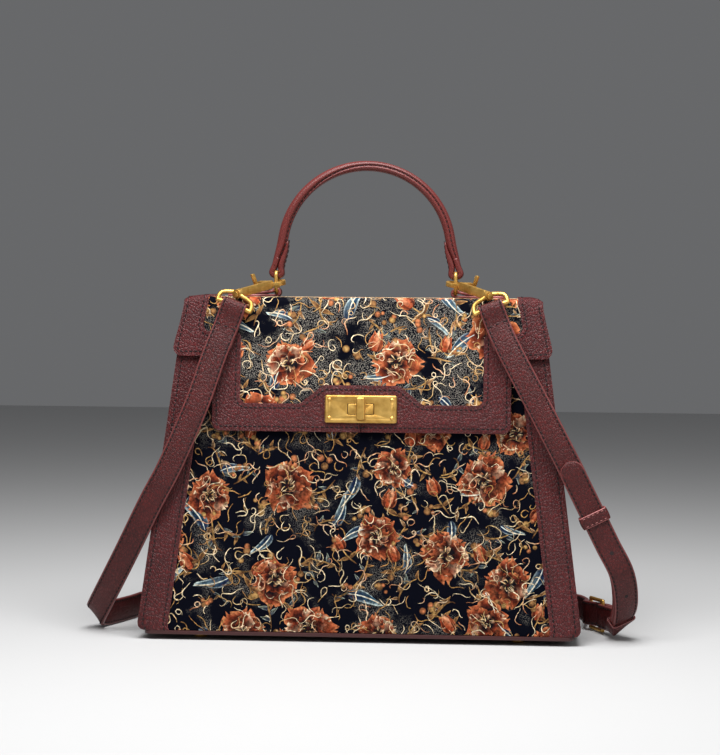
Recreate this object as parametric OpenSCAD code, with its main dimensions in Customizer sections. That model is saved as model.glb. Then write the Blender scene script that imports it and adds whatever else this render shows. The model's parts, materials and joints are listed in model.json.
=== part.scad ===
// Structured flap bag with a rolled top handle and a clip-on shoulder strap.
// Millimetres, +Z up, front towards -Y, origin on the floor under the middle of the bag.

/* [Bag body] */
// Width of the body at its base
base_width = 320; // [260:1:400]
// Width of the body at its top
top_width = 260; // [220:1:320]
// Depth of the body at its base
base_depth = 130; // [100:1:180]
// Depth of the body at its top
top_depth = 72; // [60:1:110]
// Height of the panels above the base
panel_height = 238.5; // [200:0.5:320]
// Thickness of the front and back panels
panel_wall = 3; // [2:0.1:5]
// Thickness of the side gussets
gusset_wall = 2.5; // [1.5:0.1:5]
// Thickness of the lining
lining_wall = 0.8; // [0.5:0.1:2]
// How far the lining stops below the top edge
lining_drop = 6; // [2:0.5:20]
// Thickness of the base leather
base_wall = 2.5; // [1.5:0.1:5]
// Corner radius of the base leather
base_corner = 6; // [2:0.5:20]
// How far the base edge stands out past what it carries
edge_proud = 0.5; // [0.2:0.1:2]
// Thickness of the stiffening board on the base
board_wall = 2; // [1:0.1:4]
// Width of the leather strips up the corners
strip_width = 22; // [12:0.5:40]
// Thickness of those strips
strip_wall = 1.5; // [1:0.1:3]
// How far the strips stop below the top edge
strip_drop = 2.5; // [2.5:0.5:20]

/* [Feet] */
// Height of a foot
foot_height = 4; // [2:0.5:10]
// Radius of a foot
foot_radius = 5; // [3:0.5:10]
// Radius of a foot's stem
foot_stem = 1.5; // [1:0.1:2.5]
// Distance of the feet from the ends of the base
foot_x = 45; // [20:1:100]
// Distance of the feet from the front and the back of the base
foot_y = 15; // [8:1:40]

/* [Flap] */
// Thickness of the flap's printed layer
flap_wall = 2.2; // [1.5:0.1:4]
// Thickness of the leather border on the flap
band_wall = 1.5; // [1:0.1:3]
// Radius of the fold inside the flap
fold_radius = 1.7; // [1:0.1:1.8]
// How far the flap hangs down in front
flap_drop = 99; // [70:1:140]
// How far the wings and the back of the flap hang down
wing_drop = 45; // [30:1:60]
// How far the wings stand out past the body at the top
wing_proud = 1; // [0.5:0.5:5]
// How much wider each wing is at its lower edge
wing_flare = 7; // [4:0.5:15]
// Width of the hanging tongue
tongue_width = 216; // [160:1:230]
// Width of the border along the wings
wing_band = 18; // [10:0.5:30]
// Width of the border down the tongue
tongue_band = 20; // [10:0.5:30]
// Height of the raised middle above the tongue's lower border
raise_height = 13.7; // [5:0.1:30]
// Width of the raised middle at its top
raise_top = 55; // [30:1:80]
// Width of the raised middle at its foot
raise_foot = 89; // [60:1:120]
// Radius of the flap's outer corners
flap_corner = 6; // [2:0.5:12]
// Radius of the border's inner corners
band_corner = 5; // [2:0.5:8]

/* [Turn lock] */
// Height of the lock's middle above the flap's lower edge, along the flap
lock_rise = 16; // [12:0.5:30]
// Width of the lock plate
plate_width = 52; // [40:0.5:70]
// Height of the lock plate
plate_height = 20; // [16:0.5:26]
// Thickness of the lock plate
plate_wall = 2.6; // [1.5:0.1:4]
// Width of the slot in the plate
slot_width = 19.4; // [18:0.1:26]
// Height of the slot in the plate
slot_height = 8.4; // [8:0.1:12]
// Gap between the slot and the boss
slot_gap = 0.5; // [0.3:0.1:1]
// Length of the turn bar
knob_length = 16.4; // [12:0.1:18]
// Width of the turn bar
knob_width = 6.2; // [4:0.1:7]
// Height of the turn bar
knob_height = 4; // [2:0.1:8]
// Radius of the turn bar's spindle
spindle_radius = 2; // [1.5:0.1:2.5]
// Running clearance of pins in their bores
pin_gap = 0.05; // [0.02:0.01:0.1]
// Thickness of the backing plate and of the lock's flange
backing_wall = 0.8; // [0.5:0.1:1.2]
// Radius of a lock rivet's shank
rivet_radius = 0.8; // [0.5:0.1:1.2]

/* [Handle and rings] */
// Distance of each ring from the middle
ring_x = 66.5; // [50:0.5:80]
// Radius of the ring wire
ring_wire = 1.4; // [1:0.1:2]
// Distance between a ring's lower and upper bars
ring_height = 14.8; // [13:0.1:22]
// Width of a ring between its side bars' middles
ring_width = 16; // [15:0.5:24]
// Thickness of the leather round the ring bars
tab_wall = 2.15; // [1.5:0.05:3]
// Width of the tabs and of the handle's loops
tab_width = 10; // [8:0.5:11]
// Length of a tab along the flap
tab_length = 36; // [20:1:40]
// Rise of the handle's middle line above the upper ring bars
handle_rise = 79.2; // [60:0.1:120]
// Outward slope of the handle's legs
leg_angle = 10; // [4:1:20]
// Radius of the handle's rolled section
roll_radius = 3.8; // [3:0.1:5]
// Offset of the two rolls that make the section
roll_offset = 1.2; // [0.5:0.1:2]
// Length of the layer that returns up each leg
return_length = 21; // [10:0.5:25]
// Thickness of that layer
return_wall = 2.4; // [1.5:0.1:3]

/* [Strap and hooks] */
// Width of the strap
strap_width = 18; // [12:0.5:20]
// Thickness of the strap
strap_wall = 3; // [2:0.1:3.2]
// Radius of the wire of the hook eyes
eye_wire = 1.6; // [1.2:0.1:1.8]
// Height of a hook's shank
shank_height = 6; // [4:0.1:7]
// Thickness of a hook's shank
shank_wall = 3.2; // [2:0.1:4]
// Inner radius of a hook's jaw
jaw_radius = 4.8; // [4.6:0.1:5]
// Wall of a hook's jaw
jaw_wall = 2.4; // [1.6:0.1:3]
// Height of a hook's jaw
jaw_height = 3.2; // [2:0.1:3.6]
// Radius of the swivel pin
swivel_radius = 1.5; // [1.2:0.1:1.5]
// Radius of the gate's pivot pin
gate_pin = 0.8; // [0.5:0.1:1]
// How far the thumb piece stands above the shank
thumb_height = 7; // [3:0.5:8]
// Radius of the buckle wire
buckle_wire = 1.4; // [1:0.1:1.5]
// Length of a keeper along the strap
keeper_length = 9; // [6:0.5:10]
// Thickness of a keeper's leather
keeper_wall = 1.5; // [1:0.1:2]

/* [Hidden] */
$fn = 48;
// Clearance between leather layers that only lie on each other
lay_gap = 0.3;
// Room that cuts run past the faces they go through
past = 1;
// Steps in a rounded corner
corner_steps = 8;

// Levels of the body
base_z = foot_height;
floor_z = base_z + base_wall;
top_z = floor_z + panel_height;
lean = atan((base_depth - top_depth) / 2 / panel_height);

// Layers in front of the panels, measured along the leaning face
flap_gap = strip_wall + lay_gap;
print_face = flap_gap + flap_wall;
band_face = print_face + band_wall;
plate_face = band_face + plate_wall;
flap_top = top_z + flap_wall + band_wall;
print_top = top_z + flap_wall;

// Levels of the flap's edges
wing_z = flap_top - wing_drop * cos(lean);
tongue_z = flap_top - flap_drop * cos(lean);
shoulder_z = wing_z + wing_band;
bar_z = tongue_z + tongue_band;
wing_top_half = top_width / 2 + wing_proud;
flap_span = top_width + 2 * wing_proud + 4 * wing_flare;

// Place of the lock on the leaning front
lock_z = tongue_z + lock_rise * cos(lean);
lock_up = (lock_z - floor_z) / cos(lean);
knob_seat = plate_face + lay_gap + 0.3;
rivet_inset = 3.4;
slot_corner = 1.2;

// Ring bars and handle
loop_radius = ring_wire + pin_gap + tab_wall;
ring_low = print_top + loop_radius;
ring_high = ring_low + ring_height;
bend_share = 1 - sin(leg_angle);
leg_length = (handle_rise - bend_share * ring_x / cos(leg_angle))
    / (cos(leg_angle) - bend_share * tan(leg_angle));
bow_radius = (ring_x - leg_length * sin(leg_angle)) / cos(leg_angle);
bow_z = ring_high + handle_rise - bow_radius;
bow_half = 90 - leg_angle;

// Right hook, from its swivel to the middle of its jaw on the ring's front bar
swivel_place = [90.5, -43.5, 249.5];
jaw_place = [ring_x, -ring_width / 2, 257.5];
hook_line = jaw_place - swivel_place;
hook_length = norm(hook_line);
hook_axis = hook_line / hook_length;
collar_half = 1.9;
collar_radius = 3.4;
swivel_room = collar_half + 0.6;
eye_place = [93, -47, 241];
eye_lie = [0.93, 0, 0.36] / norm([0.93, 0, 0.36]);
eye_proud = 3.5;
eye_half = strap_width / 2 + eye_proud;
gate_back = 10;
gate_wall = 2;
gate_height = 3;

// Strap routes: place of the middle, direction across the strap, and offset off the route.
left_route = [
    [[-94, -47, 237], [0.93, 0, -0.36], 0],
    [[-106, -53, 206], [0.93, 0, -0.36], 0],
    [[-118, -58, 170], [0.92, 0, -0.38], 0],
    [[-136, -62, 127], [0.92, 0, -0.4], 0],
    [[-151, -62, 98], [0.92, 0, -0.4], 0],
    [[-168, -56, 64], [0.9, 0, -0.44], 0],
    [[-182, -46, 38], [0.85, 0, -0.5], 0],
    [[-193, -33, 19], [0.75, 0, -0.65], 0],
    [[-197, -24, 12], [0.65, 0, -0.75], 0],
    [[-196, -15, 10], [0.4, 0, -0.9], 0],
    [[-190, -3, 9.5], [0.1, 0, -1], 0],
    [[-180, 24, 9.5], [0, 0, -1], 0]
];
back_route = [
    [[-172, 54, 9.5], [0, 0, -1], 0],
    [[-160, 80, 9.5], [0, 0, -1], 0],
    [[-130, 93, 9.5], [0, 0, -1], 0],
    [[-70, 96, 9.5], [0, 0, -1], 0],
    [[0, 96, 9.5], [0, 0, -1], 0],
    [[70, 96, 9.5], [0, 0, -1], 0],
    [[130, 91, 9.5], [0, 0, -1], 0],
    [[159, 77, 9.5], [0, 0, -1], 0],
    [[168, 55, 9.5], [0, 0, -1], 0],
    [[167, 34, 11], [0, 0, -1], 0]
];
buckle_front = [170, 16, 13];
buckle_heel = [178, -2, 13];
// The two layers side by side, from the buckle's heel bar up to the right hook
right_route = [
    [[184, -15, 13], [-0.4, 0, -0.9]],
    [[188, -30, 15], [-0.75, 0, -0.65]],
    [[191, -45, 30], [-0.85, 0, -0.5]],
    [[188, -58, 52], [-0.9, 0, -0.43]],
    [[178, -59, 72], [-0.9, 0, -0.43]],
    [[168, -60, 92], [-0.9, 0, -0.43]],
    [[158, -61, 112], [-0.9, 0, -0.43]],
    [[148, -62, 132], [-0.9, 0, -0.43]],
    [[127, -59, 172], [-0.92, 0, -0.39]],
    [[105, -53, 213], [-0.93, 0, -0.36]],
    [[94, -47, 237], [-0.93, 0, -0.36]]
];
strap_down = [0, 0, -1];
layer_step = strap_wall + lay_gap;
tail_end = 7;
keeper_place = right_route[5][0];
keeper_across = right_route[5][1];
keeper_run = unit(right_route[6][0] - right_route[4][0]);
low_keeper_place = right_route[1][0];
// The lower keeper lies between the strap's twist at its two ends
low_keeper_twist = 0.22;
low_keeper_across = (1 - low_keeper_twist) * right_route[1][1] + low_keeper_twist * right_route[0][1];
low_keeper_run = unit(right_route[2][0] - right_route[0][0]);
short_start = buckle_heel + unit(right_route[0][0] - buckle_heel) * (buckle_wire + lay_gap);
long_route = concat(
    left_route,
    back_route,
    [[buckle_front, strap_down, -(buckle_wire + strap_wall / 2 + lay_gap)]],
    [[buckle_heel, strap_down, layer_step]],
    [for (i = [0:tail_end]) [right_route[i][0], right_route[i][1], layer_step]]
);
short_route = concat(
    [[short_start, strap_down, 0]],
    [for (row = right_route) [row[0], row[1], 0]]
);
route_steps = 2;
strap_chamfer = 0.8;

// Colours
wine = [0.36, 0.14, 0.15];
wine_dark = [0.26, 0.09, 0.1];
ground = [0.08, 0.09, 0.14];
brass = [0.76, 0.58, 0.28];
board = [0.45, 0.4, 0.33];

// Vector and curve helpers

function unit(v) = v / norm(v);
function reversed(list) = [for (i = [len(list) - 1:-1:0]) list[i]];
function half_width(z) = base_width / 2 - (base_width - top_width) / 2 * (z - floor_z) / panel_height;
function half_depth(z) = base_depth / 2 - (base_depth - top_depth) / 2 * (z - floor_z) / panel_height;
function arc(middle, radius, from, to, steps) =
    [for (i = [0:steps]) let (a = from + (to - from) * i / steps) middle + radius * [cos(a), sin(a)]];

// One corner of an outline, rounded to its radius
function round_corner(before, corner, after, radius) =
    radius == 0 ? [corner] :
    let (
        one = unit(before - corner),
        two = unit(after - corner),
        half = acos(one * two) / 2,
        middle = corner + unit(one + two) * radius / sin(half),
        start = corner + one * radius / tan(half) - middle,
        finish = corner + two * radius / tan(half) - middle,
        from = atan2(start.y, start.x),
        turn = (atan2(finish.y, finish.x) - from + 540) % 360 - 180
    ) arc(middle, radius, from, from + turn, corner_steps);

// An outline given as rows of x, y and corner radius
function rounded(rows) = [
    for (i = [0:len(rows) - 1])
        let (
            before = rows[(i + len(rows) - 1) % len(rows)],
            corner = rows[i],
            after = rows[(i + 1) % len(rows)]
        )
        each round_corner([before.x, before.y], [corner.x, corner.y], [after.x, after.y], corner[2])
];
// The right half of an outline, given from its top down, and its mirror image
function both_sides(rows) = concat(rows, [for (row = reversed(rows)) [-row[0], row[1], row[2]]]);
function box_outline(width, height, radius) = rounded([
    [width / 2, height / 2, radius],
    [width / 2, -height / 2, radius],
    [-width / 2, -height / 2, radius],
    [-width / 2, height / 2, radius]
]);

// A smooth curve through rows of numbers or vectors
function blend(a, b, c, d, t) = 0.5 * (2 * b + (c - a) * t + (2 * a - 5 * b + 4 * c - d) * t * t
    + (3 * b - a - 3 * c + d) * t * t * t);
function curve(points, steps) =
    let (last = len(points) - 1)
    concat(
        [for (i = [0:last - 1], k = [0:steps - 1])
            blend(
                i == 0 ? 2 * points[0] - points[1] : points[i - 1],
                points[i],
                points[i + 1],
                i + 2 > last ? 2 * points[last] - points[last - 1] : points[i + 2],
                k / steps
            )],
        [points[last]]
    );
function along(points, i) = unit(points[min(i + 1, len(points) - 1)] - points[max(i - 1, 0)]);
function square_to(across, run) = unit(across - (across * run) * run);

// Shape helpers

// A block whose lower and upper faces are given as x0, x1, y0, y1
module block(low, high, z_low, z_high) {
    polyhedron(
        points = [
            [low[0], low[2], z_low],
            [low[1], low[2], z_low],
            [low[1], low[3], z_low],
            [low[0], low[3], z_low],
            [high[0], high[2], z_high],
            [high[1], high[2], z_high],
            [high[1], high[3], z_high],
            [high[0], high[3], z_high]
        ],
        faces = [[0, 1, 2, 3], [4, 5, 1, 0], [5, 6, 2, 1], [6, 7, 3, 2], [7, 4, 0, 3], [7, 6, 5, 4]]
    );
}

// Puts flat shapes on the leaning front: x across, y up the slope, z out of the face
module on_front(out) {
    translate([0, -base_depth / 2, floor_z])
        rotate([90 - lean, 0, 0])
            translate([0, 0, out]) children();
}
module on_lock(out) {
    on_front(out) translate([0, lock_up, 0]) children();
}
// Puts a shape in a frame given by its place and two square directions
module in_frame(place, run, across) {
    side = square_to(across, run);
    rise = cross(run, side);
    multmatrix([
        [run.x, side.x, rise.x, place.x],
        [run.y, side.y, rise.y, place.y],
        [run.z, side.z, rise.z, place.z],
        [0, 0, 0, 1]
    ]) children();
}
// Puts a shape on the right hook: x from the swivel to the jaw
module on_hook() {
    translate(swivel_place)
        rotate([0, -asin(hook_axis.z), atan2(hook_axis.y, hook_axis.x)]) children();
}
module on_left() {
    mirror([1, 0, 0]) children();
}
module rod(from, to, radius) {
    line = to - from;
    translate(from)
        rotate([0, acos(line.z / norm(line)), atan2(line.y, line.x)])
            cylinder(h = norm(line), r = radius);
}
module ball(place, radius) {
    translate(place) sphere(r = radius);
}
// A closed solid over rings of points
module skin(rings) {
    sides = len(rings[0]);
    last = len(rings) - 1;
    walls = [
        for (i = [0:last - 1], k = [0:sides - 1])
            let (a = i * sides + k, b = i * sides + (k + 1) % sides)
            each [[a, a + sides, b], [b, a + sides, b + sides]]
    ];
    start = [for (k = [0:sides - 1]) k];
    finish = [for (k = [sides - 1:-1:0]) last * sides + k];
    polyhedron(points = [for (ring = rings) each ring], faces = concat(walls, [start], [finish]));
}
module shaft(from, to, radius) {
    translate([from, 0, 0]) rotate([0, 90, 0]) cylinder(h = to - from, r = radius);
}

// Body

module wall_front(out_low, out_high, x_low, x_high, z_low, z_high) {
    block(
        [x_low[0], x_low[1], -half_depth(z_low) - out_high, -half_depth(z_low) - out_low],
        [x_high[0], x_high[1], -half_depth(z_high) - out_high, -half_depth(z_high) - out_low],
        z_low, z_high
    );
}
module plain_panel() {
    wall_front(
        -panel_wall, 0,
        [-half_width(floor_z), half_width(floor_z)],
        [-half_width(top_z), half_width(top_z)],
        floor_z, top_z
    );
}
module front_panel() {
    color(ground) difference() {
        plain_panel();
        on_lock(-panel_wall - past) cylinder(h = panel_wall + 2 * past, r = socket_radius + lay_gap);
    }
}
module back_panel() {
    color(ground) rotate([0, 0, 180]) plain_panel();
}
module right_gusset() {
    color(wine) block(
        [half_width(floor_z) - gusset_wall, half_width(floor_z),
            -half_depth(floor_z) + panel_wall, half_depth(floor_z) - panel_wall],
        [half_width(top_z) - gusset_wall, half_width(top_z),
            -half_depth(top_z) + panel_wall, half_depth(top_z) - panel_wall],
        floor_z, top_z
    );
}
module left_gusset() {
    on_left() right_gusset();
}
module right_front_strip() {
    strip_top = top_z - strip_drop;
    color(wine) wall_front(
        0, strip_wall,
        [half_width(floor_z) - strip_width, half_width(floor_z)],
        [half_width(strip_top) - strip_width, half_width(strip_top)],
        floor_z, strip_top
    );
}
module left_front_strip() {
    on_left() right_front_strip();
}
module left_back_strip() {
    rotate([0, 0, 180]) right_front_strip();
}
module right_back_strip() {
    on_left() left_back_strip();
}
module at_feet() {
    x = base_width / 2 - foot_x;
    y = base_depth / 2 - foot_y;
    for (place = [[-x, -y], [x, -y], [-x, y], [x, y]]) translate(place) children();
}
module base_panel() {
    color(wine_dark) difference() {
        translate([0, 0, base_z]) linear_extrude(base_wall) polygon(box_outline(
            base_width + 2 * edge_proud, base_depth + 2 * strip_wall + 2 * edge_proud, base_corner));
        at_feet() translate([0, 0, base_z - past])
            cylinder(h = base_wall + 2 * past, r = foot_stem + pin_gap);
    }
}
module base_board() {
    color(board) difference() {
        inside(0, floor_z, floor_z + board_wall);
        at_feet() translate([0, 0, floor_z - past])
            cylinder(h = board_wall + 2 * past, r = foot_stem + pin_gap);
    }
}
module feet() {
    color(brass) at_feet() rotate_extrude() polygon(concat(
        [[0, 0]],
        arc([foot_radius * 0.6, foot_radius * 0.4], foot_radius * 0.4, -90, 0, corner_steps),
        [
            [foot_radius, foot_height],
            [foot_stem, foot_height],
            [foot_stem, floor_z + board_wall],
            [0, floor_z + board_wall]
        ]
    ));
}
// The hollow of the body, drawn in by a wall
module inside(wall, z_low, z_high) {
    block(
        [-half_width(z_low) + gusset_wall + wall, half_width(z_low) - gusset_wall - wall,
            -half_depth(z_low) + panel_wall + wall, half_depth(z_low) - panel_wall - wall],
        [-half_width(z_high) + gusset_wall + wall, half_width(z_high) - gusset_wall - wall,
            -half_depth(z_high) + panel_wall + wall, half_depth(z_high) - panel_wall - wall],
        z_low, z_high
    );
}
module lining() {
    lining_low = floor_z + board_wall;
    lining_high = top_z - lining_drop;
    color([0.55, 0.47, 0.38]) difference() {
        inside(0, lining_low, lining_high);
        inside(lining_wall, lining_low + lining_wall, lining_high + past);
    }
}

// Flap

// Section of the flap at a distance off its inner face, from the front edge over the top to the back
function flap_path(off) =
    let (
        reach = fold_radius + off,
        middle_y = top_depth / 2 + (flap_gap - fold_radius + fold_radius * sin(lean)) / cos(lean),
        middle_z = top_z - fold_radius,
        hang = flap_drop + 2 * fold_radius,
        down = hang * [sin(lean), cos(lean)],
        back = arc([middle_y, middle_z], reach, 90, lean, corner_steps),
        edge = back[corner_steps] + [down.x, -down.y],
        half = concat(back, [edge])
    )
    concat([for (p = reversed(half)) [-p.x, p.y]], half);
module flap_layer(low, high) {
    rotate([90, 0, 90])
        linear_extrude(flap_span, center = true)
            polygon(concat(flap_path(high), reversed(flap_path(low))));
}
function wing_half(z) = wing_top_half + wing_flare * (flap_top - z) / (flap_top - wing_z);
over_top = 10;
function flap_outline() = rounded(both_sides([
    [wing_half(flap_top + over_top), flap_top + over_top, 0],
    [wing_half(wing_z), wing_z, flap_corner],
    [tongue_width / 2, wing_z, band_corner / 2],
    [tongue_width / 2, tongue_z, flap_corner]
]));
function flap_window() = rounded(both_sides([
    [wing_half(flap_top + over_top) - wing_band, flap_top + over_top, 0],
    [wing_half(shoulder_z) - wing_band, shoulder_z, band_corner],
    [tongue_width / 2 - tongue_band, shoulder_z, band_corner],
    [tongue_width / 2 - tongue_band, bar_z, band_corner],
    [raise_foot / 2, bar_z, band_corner],
    [raise_top / 2, bar_z + raise_height, band_corner]
]));
function back_outline() = rounded(both_sides([
    [wing_half(flap_top + over_top), flap_top + over_top, 0],
    [wing_half(wing_z), wing_z, flap_corner]
]));
function back_window() = rounded(both_sides([
    [wing_half(flap_top + over_top) - wing_band, flap_top + over_top, 0],
    [wing_half(shoulder_z) - wing_band, shoulder_z, band_corner]
]));
module upright(from_y, to_y) {
    translate([0, to_y, 0]) rotate([90, 0, 0]) linear_extrude(to_y - from_y) children();
}
module lock_slot(extra, low, high) {
    on_lock(low) linear_extrude(high - low)
        polygon(box_outline(slot_width + 2 * extra, slot_height + 2 * extra, slot_corner + extra));
}
module at_rivets() {
    for (x = [-1, 1], y = [-1, 1])
        translate([x * (plate_width / 2 - rivet_inset), y * (plate_height / 2 - rivet_inset), 0]) children();
}
module rivet_holes(low, high) {
    on_lock(low) at_rivets() cylinder(h = high - low, r = rivet_radius + pin_gap);
}
module flap_panel() {
    color(ground) difference() {
        intersection() {
            flap_layer(0, flap_wall);
            union() {
                upright(-base_depth, 0) polygon(flap_outline());
                upright(0, base_depth) polygon(back_outline());
            }
        }
        lock_slot(slot_gap, flap_gap - past, print_face + past);
        rivet_holes(flap_gap - past, print_face + past);
        on_lock(flap_gap - past) linear_extrude(backing_wall + past) backing_shape(pin_gap);
    }
}
module right_flap_border() {
    color(wine) difference() {
        intersection() {
            flap_layer(flap_wall, flap_wall + band_wall);
            union() {
                upright(-base_depth, 0) difference() {
                    polygon(flap_outline());
                    polygon(flap_window());
                }
                upright(0, base_depth) difference() {
                    polygon(back_outline());
                    polygon(back_window());
                }
            }
            translate([0, -base_depth, 0]) cube([flap_span, 2 * base_depth, flap_top + over_top]);
        }
        lock_slot(slot_gap, print_face - past, band_face + past);
        rivet_holes(print_face - past, band_face + past);
    }
}
module left_flap_border() {
    on_left() right_flap_border();
}

// Turn lock

socket_wall = 2.4;
socket_radius = spindle_radius + socket_wall;
boss_width = slot_width - 2 * slot_gap;
boss_height = slot_height - 2 * slot_gap;
boss_corner = slot_corner - slot_gap;
boss_top = plate_face + lay_gap;
tail_proud = 1.1;
tail_radius = spindle_radius + tail_proud;
tail_wall = 1.2;
// How far the lock's flange and backing plate stop inside the plate's outline, and their corners
flange_inset = [8, 2];
flange_corner = 3;
backing_inset = 1;
backing_corner = 2;
plate_corner = 1.5;
plate_bevel = 0.9;
knob_bevel = 0.7;
knob_corner = 1.2;
// Thickness of the front panel square to its leaning face
panel_deep = panel_wall * cos(lean);
// A plate with its upper edge bevelled
module bevelled(width, height, radius, thickness, bevel) {
    hull() {
        linear_extrude(thickness - bevel) polygon(box_outline(width, height, radius));
        linear_extrude(thickness) polygon(box_outline(width - 2 * bevel, height - 2 * bevel, radius - bevel));
    }
}
module lock_plate() {
    color(brass) difference() {
        on_lock(band_face) bevelled(plate_width, plate_height, plate_corner, plate_wall, plate_bevel);
        lock_slot(0, band_face - past, plate_face + past);
        rivet_holes(band_face - past, plate_face + past);
    }
}
module backing_shape(gap) {
    shrink = 2 * (backing_inset - gap);
    polygon(box_outline(plate_width - shrink, plate_height - shrink, backing_corner));
}
module lock_backing() {
    color(brass) difference() {
        on_lock(flap_gap) linear_extrude(backing_wall) backing_shape(0);
        lock_slot(slot_gap, flap_gap - past, flap_gap + backing_wall + past);
        rivet_holes(flap_gap - past, flap_gap + backing_wall + past);
    }
}
module lock_rivets() {
    head = rivet_radius * 2;
    color(brass) on_lock(0) at_rivets() union() {
        translate([0, 0, flap_gap]) cylinder(h = plate_face - flap_gap, r = rivet_radius);
        translate([0, 0, plate_face]) intersection() {
            translate([0, 0, -head]) sphere(r = head * sqrt(2));
            cylinder(h = head, r = head);
        }
    }
}
module lock_base() {
    color(brass) on_lock(0) difference() {
        union() {
            translate([0, 0, -panel_deep]) cylinder(h = panel_deep + backing_wall, r = socket_radius);
            linear_extrude(backing_wall) polygon(box_outline(
                plate_width - 2 * flange_inset.x, plate_height - 2 * flange_inset.y, flange_corner));
            linear_extrude(boss_top) polygon(box_outline(boss_width, boss_height, boss_corner));
        }
        translate([0, 0, -panel_deep - past])
            cylinder(h = panel_deep + boss_top + 2 * past, r = spindle_radius + pin_gap);
        translate([0, 0, -panel_deep - past])
            cylinder(h = tail_wall + 2 * lay_gap + past, r = tail_radius + lay_gap);
    }
}
module turn_knob() {
    tail_low = lay_gap - panel_deep;
    color(brass) on_lock(0) union() {
        translate([0, 0, knob_seat]) bevelled(knob_width, knob_length, knob_corner, knob_height, knob_bevel);
        translate([0, 0, tail_low]) cylinder(h = knob_seat + knob_bevel - tail_low, r = spindle_radius);
        translate([0, 0, tail_low]) cylinder(h = tail_wall, r = tail_radius);
    }
}

// Handle and rings

module cross_bar(x, z, radius, length) {
    translate([x, -length / 2, z]) rotate([-90, 0, 0]) cylinder(h = length, r = radius);
}
module right_tab() {
    color(wine) difference() {
        union() {
            translate([ring_x, -tab_width / 2, print_top]) cube([tab_length, tab_width, tab_wall]);
            cross_bar(ring_x, ring_low, loop_radius, tab_width);
        }
        cross_bar(ring_x, ring_low, ring_wire + pin_gap, tab_width + 2 * past);
    }
}
module left_tab() {
    on_left() right_tab();
}
ring_corner = 2.4;
module ring_quarter(y, z, turn) {
    translate([ring_x, y, z]) rotate([turn, 0, 0]) rotate([90, 0, 90])
        rotate_extrude(angle = 90) translate([ring_corner, 0]) circle(r = ring_wire);
}
module right_ring() {
    y = ring_width / 2;
    color(brass) union() {
        cross_bar(ring_x, ring_low, ring_wire, ring_width - 2 * ring_corner);
        cross_bar(ring_x, ring_high, ring_wire, ring_width - 2 * ring_corner);
        for (side = [-y, y])
            translate([ring_x, side, ring_low + ring_corner])
                cylinder(h = ring_height - 2 * ring_corner, r = ring_wire);
        ring_quarter(y - ring_corner, ring_high - ring_corner, 0);
        ring_quarter(ring_corner - y, ring_high - ring_corner, 90);
        ring_quarter(ring_corner - y, ring_low + ring_corner, 180);
        ring_quarter(y - ring_corner, ring_low + ring_corner, 270);
    }
}
module left_ring() {
    on_left() right_ring();
}
// The handle's section, as distance off the bow's middle line and place along the depth
function roll_section() = concat(
    arc([0, roll_offset], roll_radius, 0, 180, corner_steps),
    arc([0, -roll_offset], roll_radius, 180, 360, corner_steps)
);
function roll_ring(x, z, angle) =
    [for (p = roll_section()) [x + p.x * cos(angle), p.y, z + p.x * sin(angle)]];
function leg_ring(side) =
    let (up = loop_radius * 0.6)
    roll_ring(
        side * (ring_x - up * sin(leg_angle)),
        ring_high + up * cos(leg_angle),
        side > 0 ? leg_angle : 180 - leg_angle
    );
function bow_rings() = [
    for (i = [0:bow_steps])
        let (a = leg_angle + 2 * bow_half * i / bow_steps)
        roll_ring(bow_radius * cos(a), bow_z + bow_radius * sin(a), a)
];
bow_steps = 32;
// Puts a shape on the right leg: z up the leg from the ring's upper bar
module on_leg() {
    translate([ring_x, 0, ring_high]) rotate([0, -leg_angle, 0]) children();
}
module leg_end() {
    on_leg() union() {
        translate([roll_radius - 1, -tab_width / 2, 0]) cube([return_wall + 1, tab_width, return_length]);
        rotate([90, 0, 0]) cylinder(h = tab_width, r = handle_loop, center = true);
    }
}
handle_loop = roll_radius + 0.4;
module handle() {
    color(wine) difference() {
        union() {
            skin(concat([leg_ring(1)], bow_rings(), [leg_ring(-1)]));
            leg_end();
            on_left() leg_end();
        }
        for (x = [-ring_x, ring_x]) cross_bar(x, ring_high, ring_wire + pin_gap, tab_width + 2 * past);
    }
}

// Hooks

eye_fall = 0.35;
eye_shoulder = 1.2;
eye_turn = 3;
// The bent wire of the eye, from one side of the collar round the strap's bar to the other
module eye_loop() {
    square_side = square_to(eye_lie, hook_axis);
    waist_place = swivel_place + eye_fall * (eye_place - swivel_place);
    sides = [-1, 1];
    near = [for (s = sides) swivel_place + s * (collar_radius - eye_wire / 2) * square_side];
    waist = [for (s = sides) waist_place + s * (eye_half - eye_shoulder) * eye_lie];
    foot = [for (s = sides) eye_place + s * eye_half * eye_lie];
    inner = [for (s = sides) eye_place + s * (eye_half - eye_turn) * eye_lie];
    places = curve([near[0], waist[0], foot[0], inner[0], inner[1], foot[1], waist[1], near[1]], 4);
    flat = unit(cross(eye_lie, swivel_place - eye_place));
    skin([
        for (i = [0:len(places) - 1])
            let (run = along(places, i), across = square_to(flat, run), out = cross(run, across))
            [for (p = arc([0, 0], eye_wire, 0, 330, 11)) places[i] + p.x * across + p.y * out]
    ]);
}
module right_hook_eye() {
    color(brass) difference() {
        union() {
            on_hook() shaft(-collar_half, collar_half, collar_radius);
            eye_loop();
        }
        on_hook() shaft(-swivel_room - past, swivel_room + past, swivel_radius + pin_gap);
    }
}
module left_hook_eye() {
    on_left() right_hook_eye();
}
lug_wall = 1.5;
lug_gap = 0.2;
lug_width = 4;
lug_proud = 1.6;
gate_y = -(jaw_radius + gate_wall / 2 + lug_gap);
gate_hub = gate_pin + 0.9;
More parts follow.
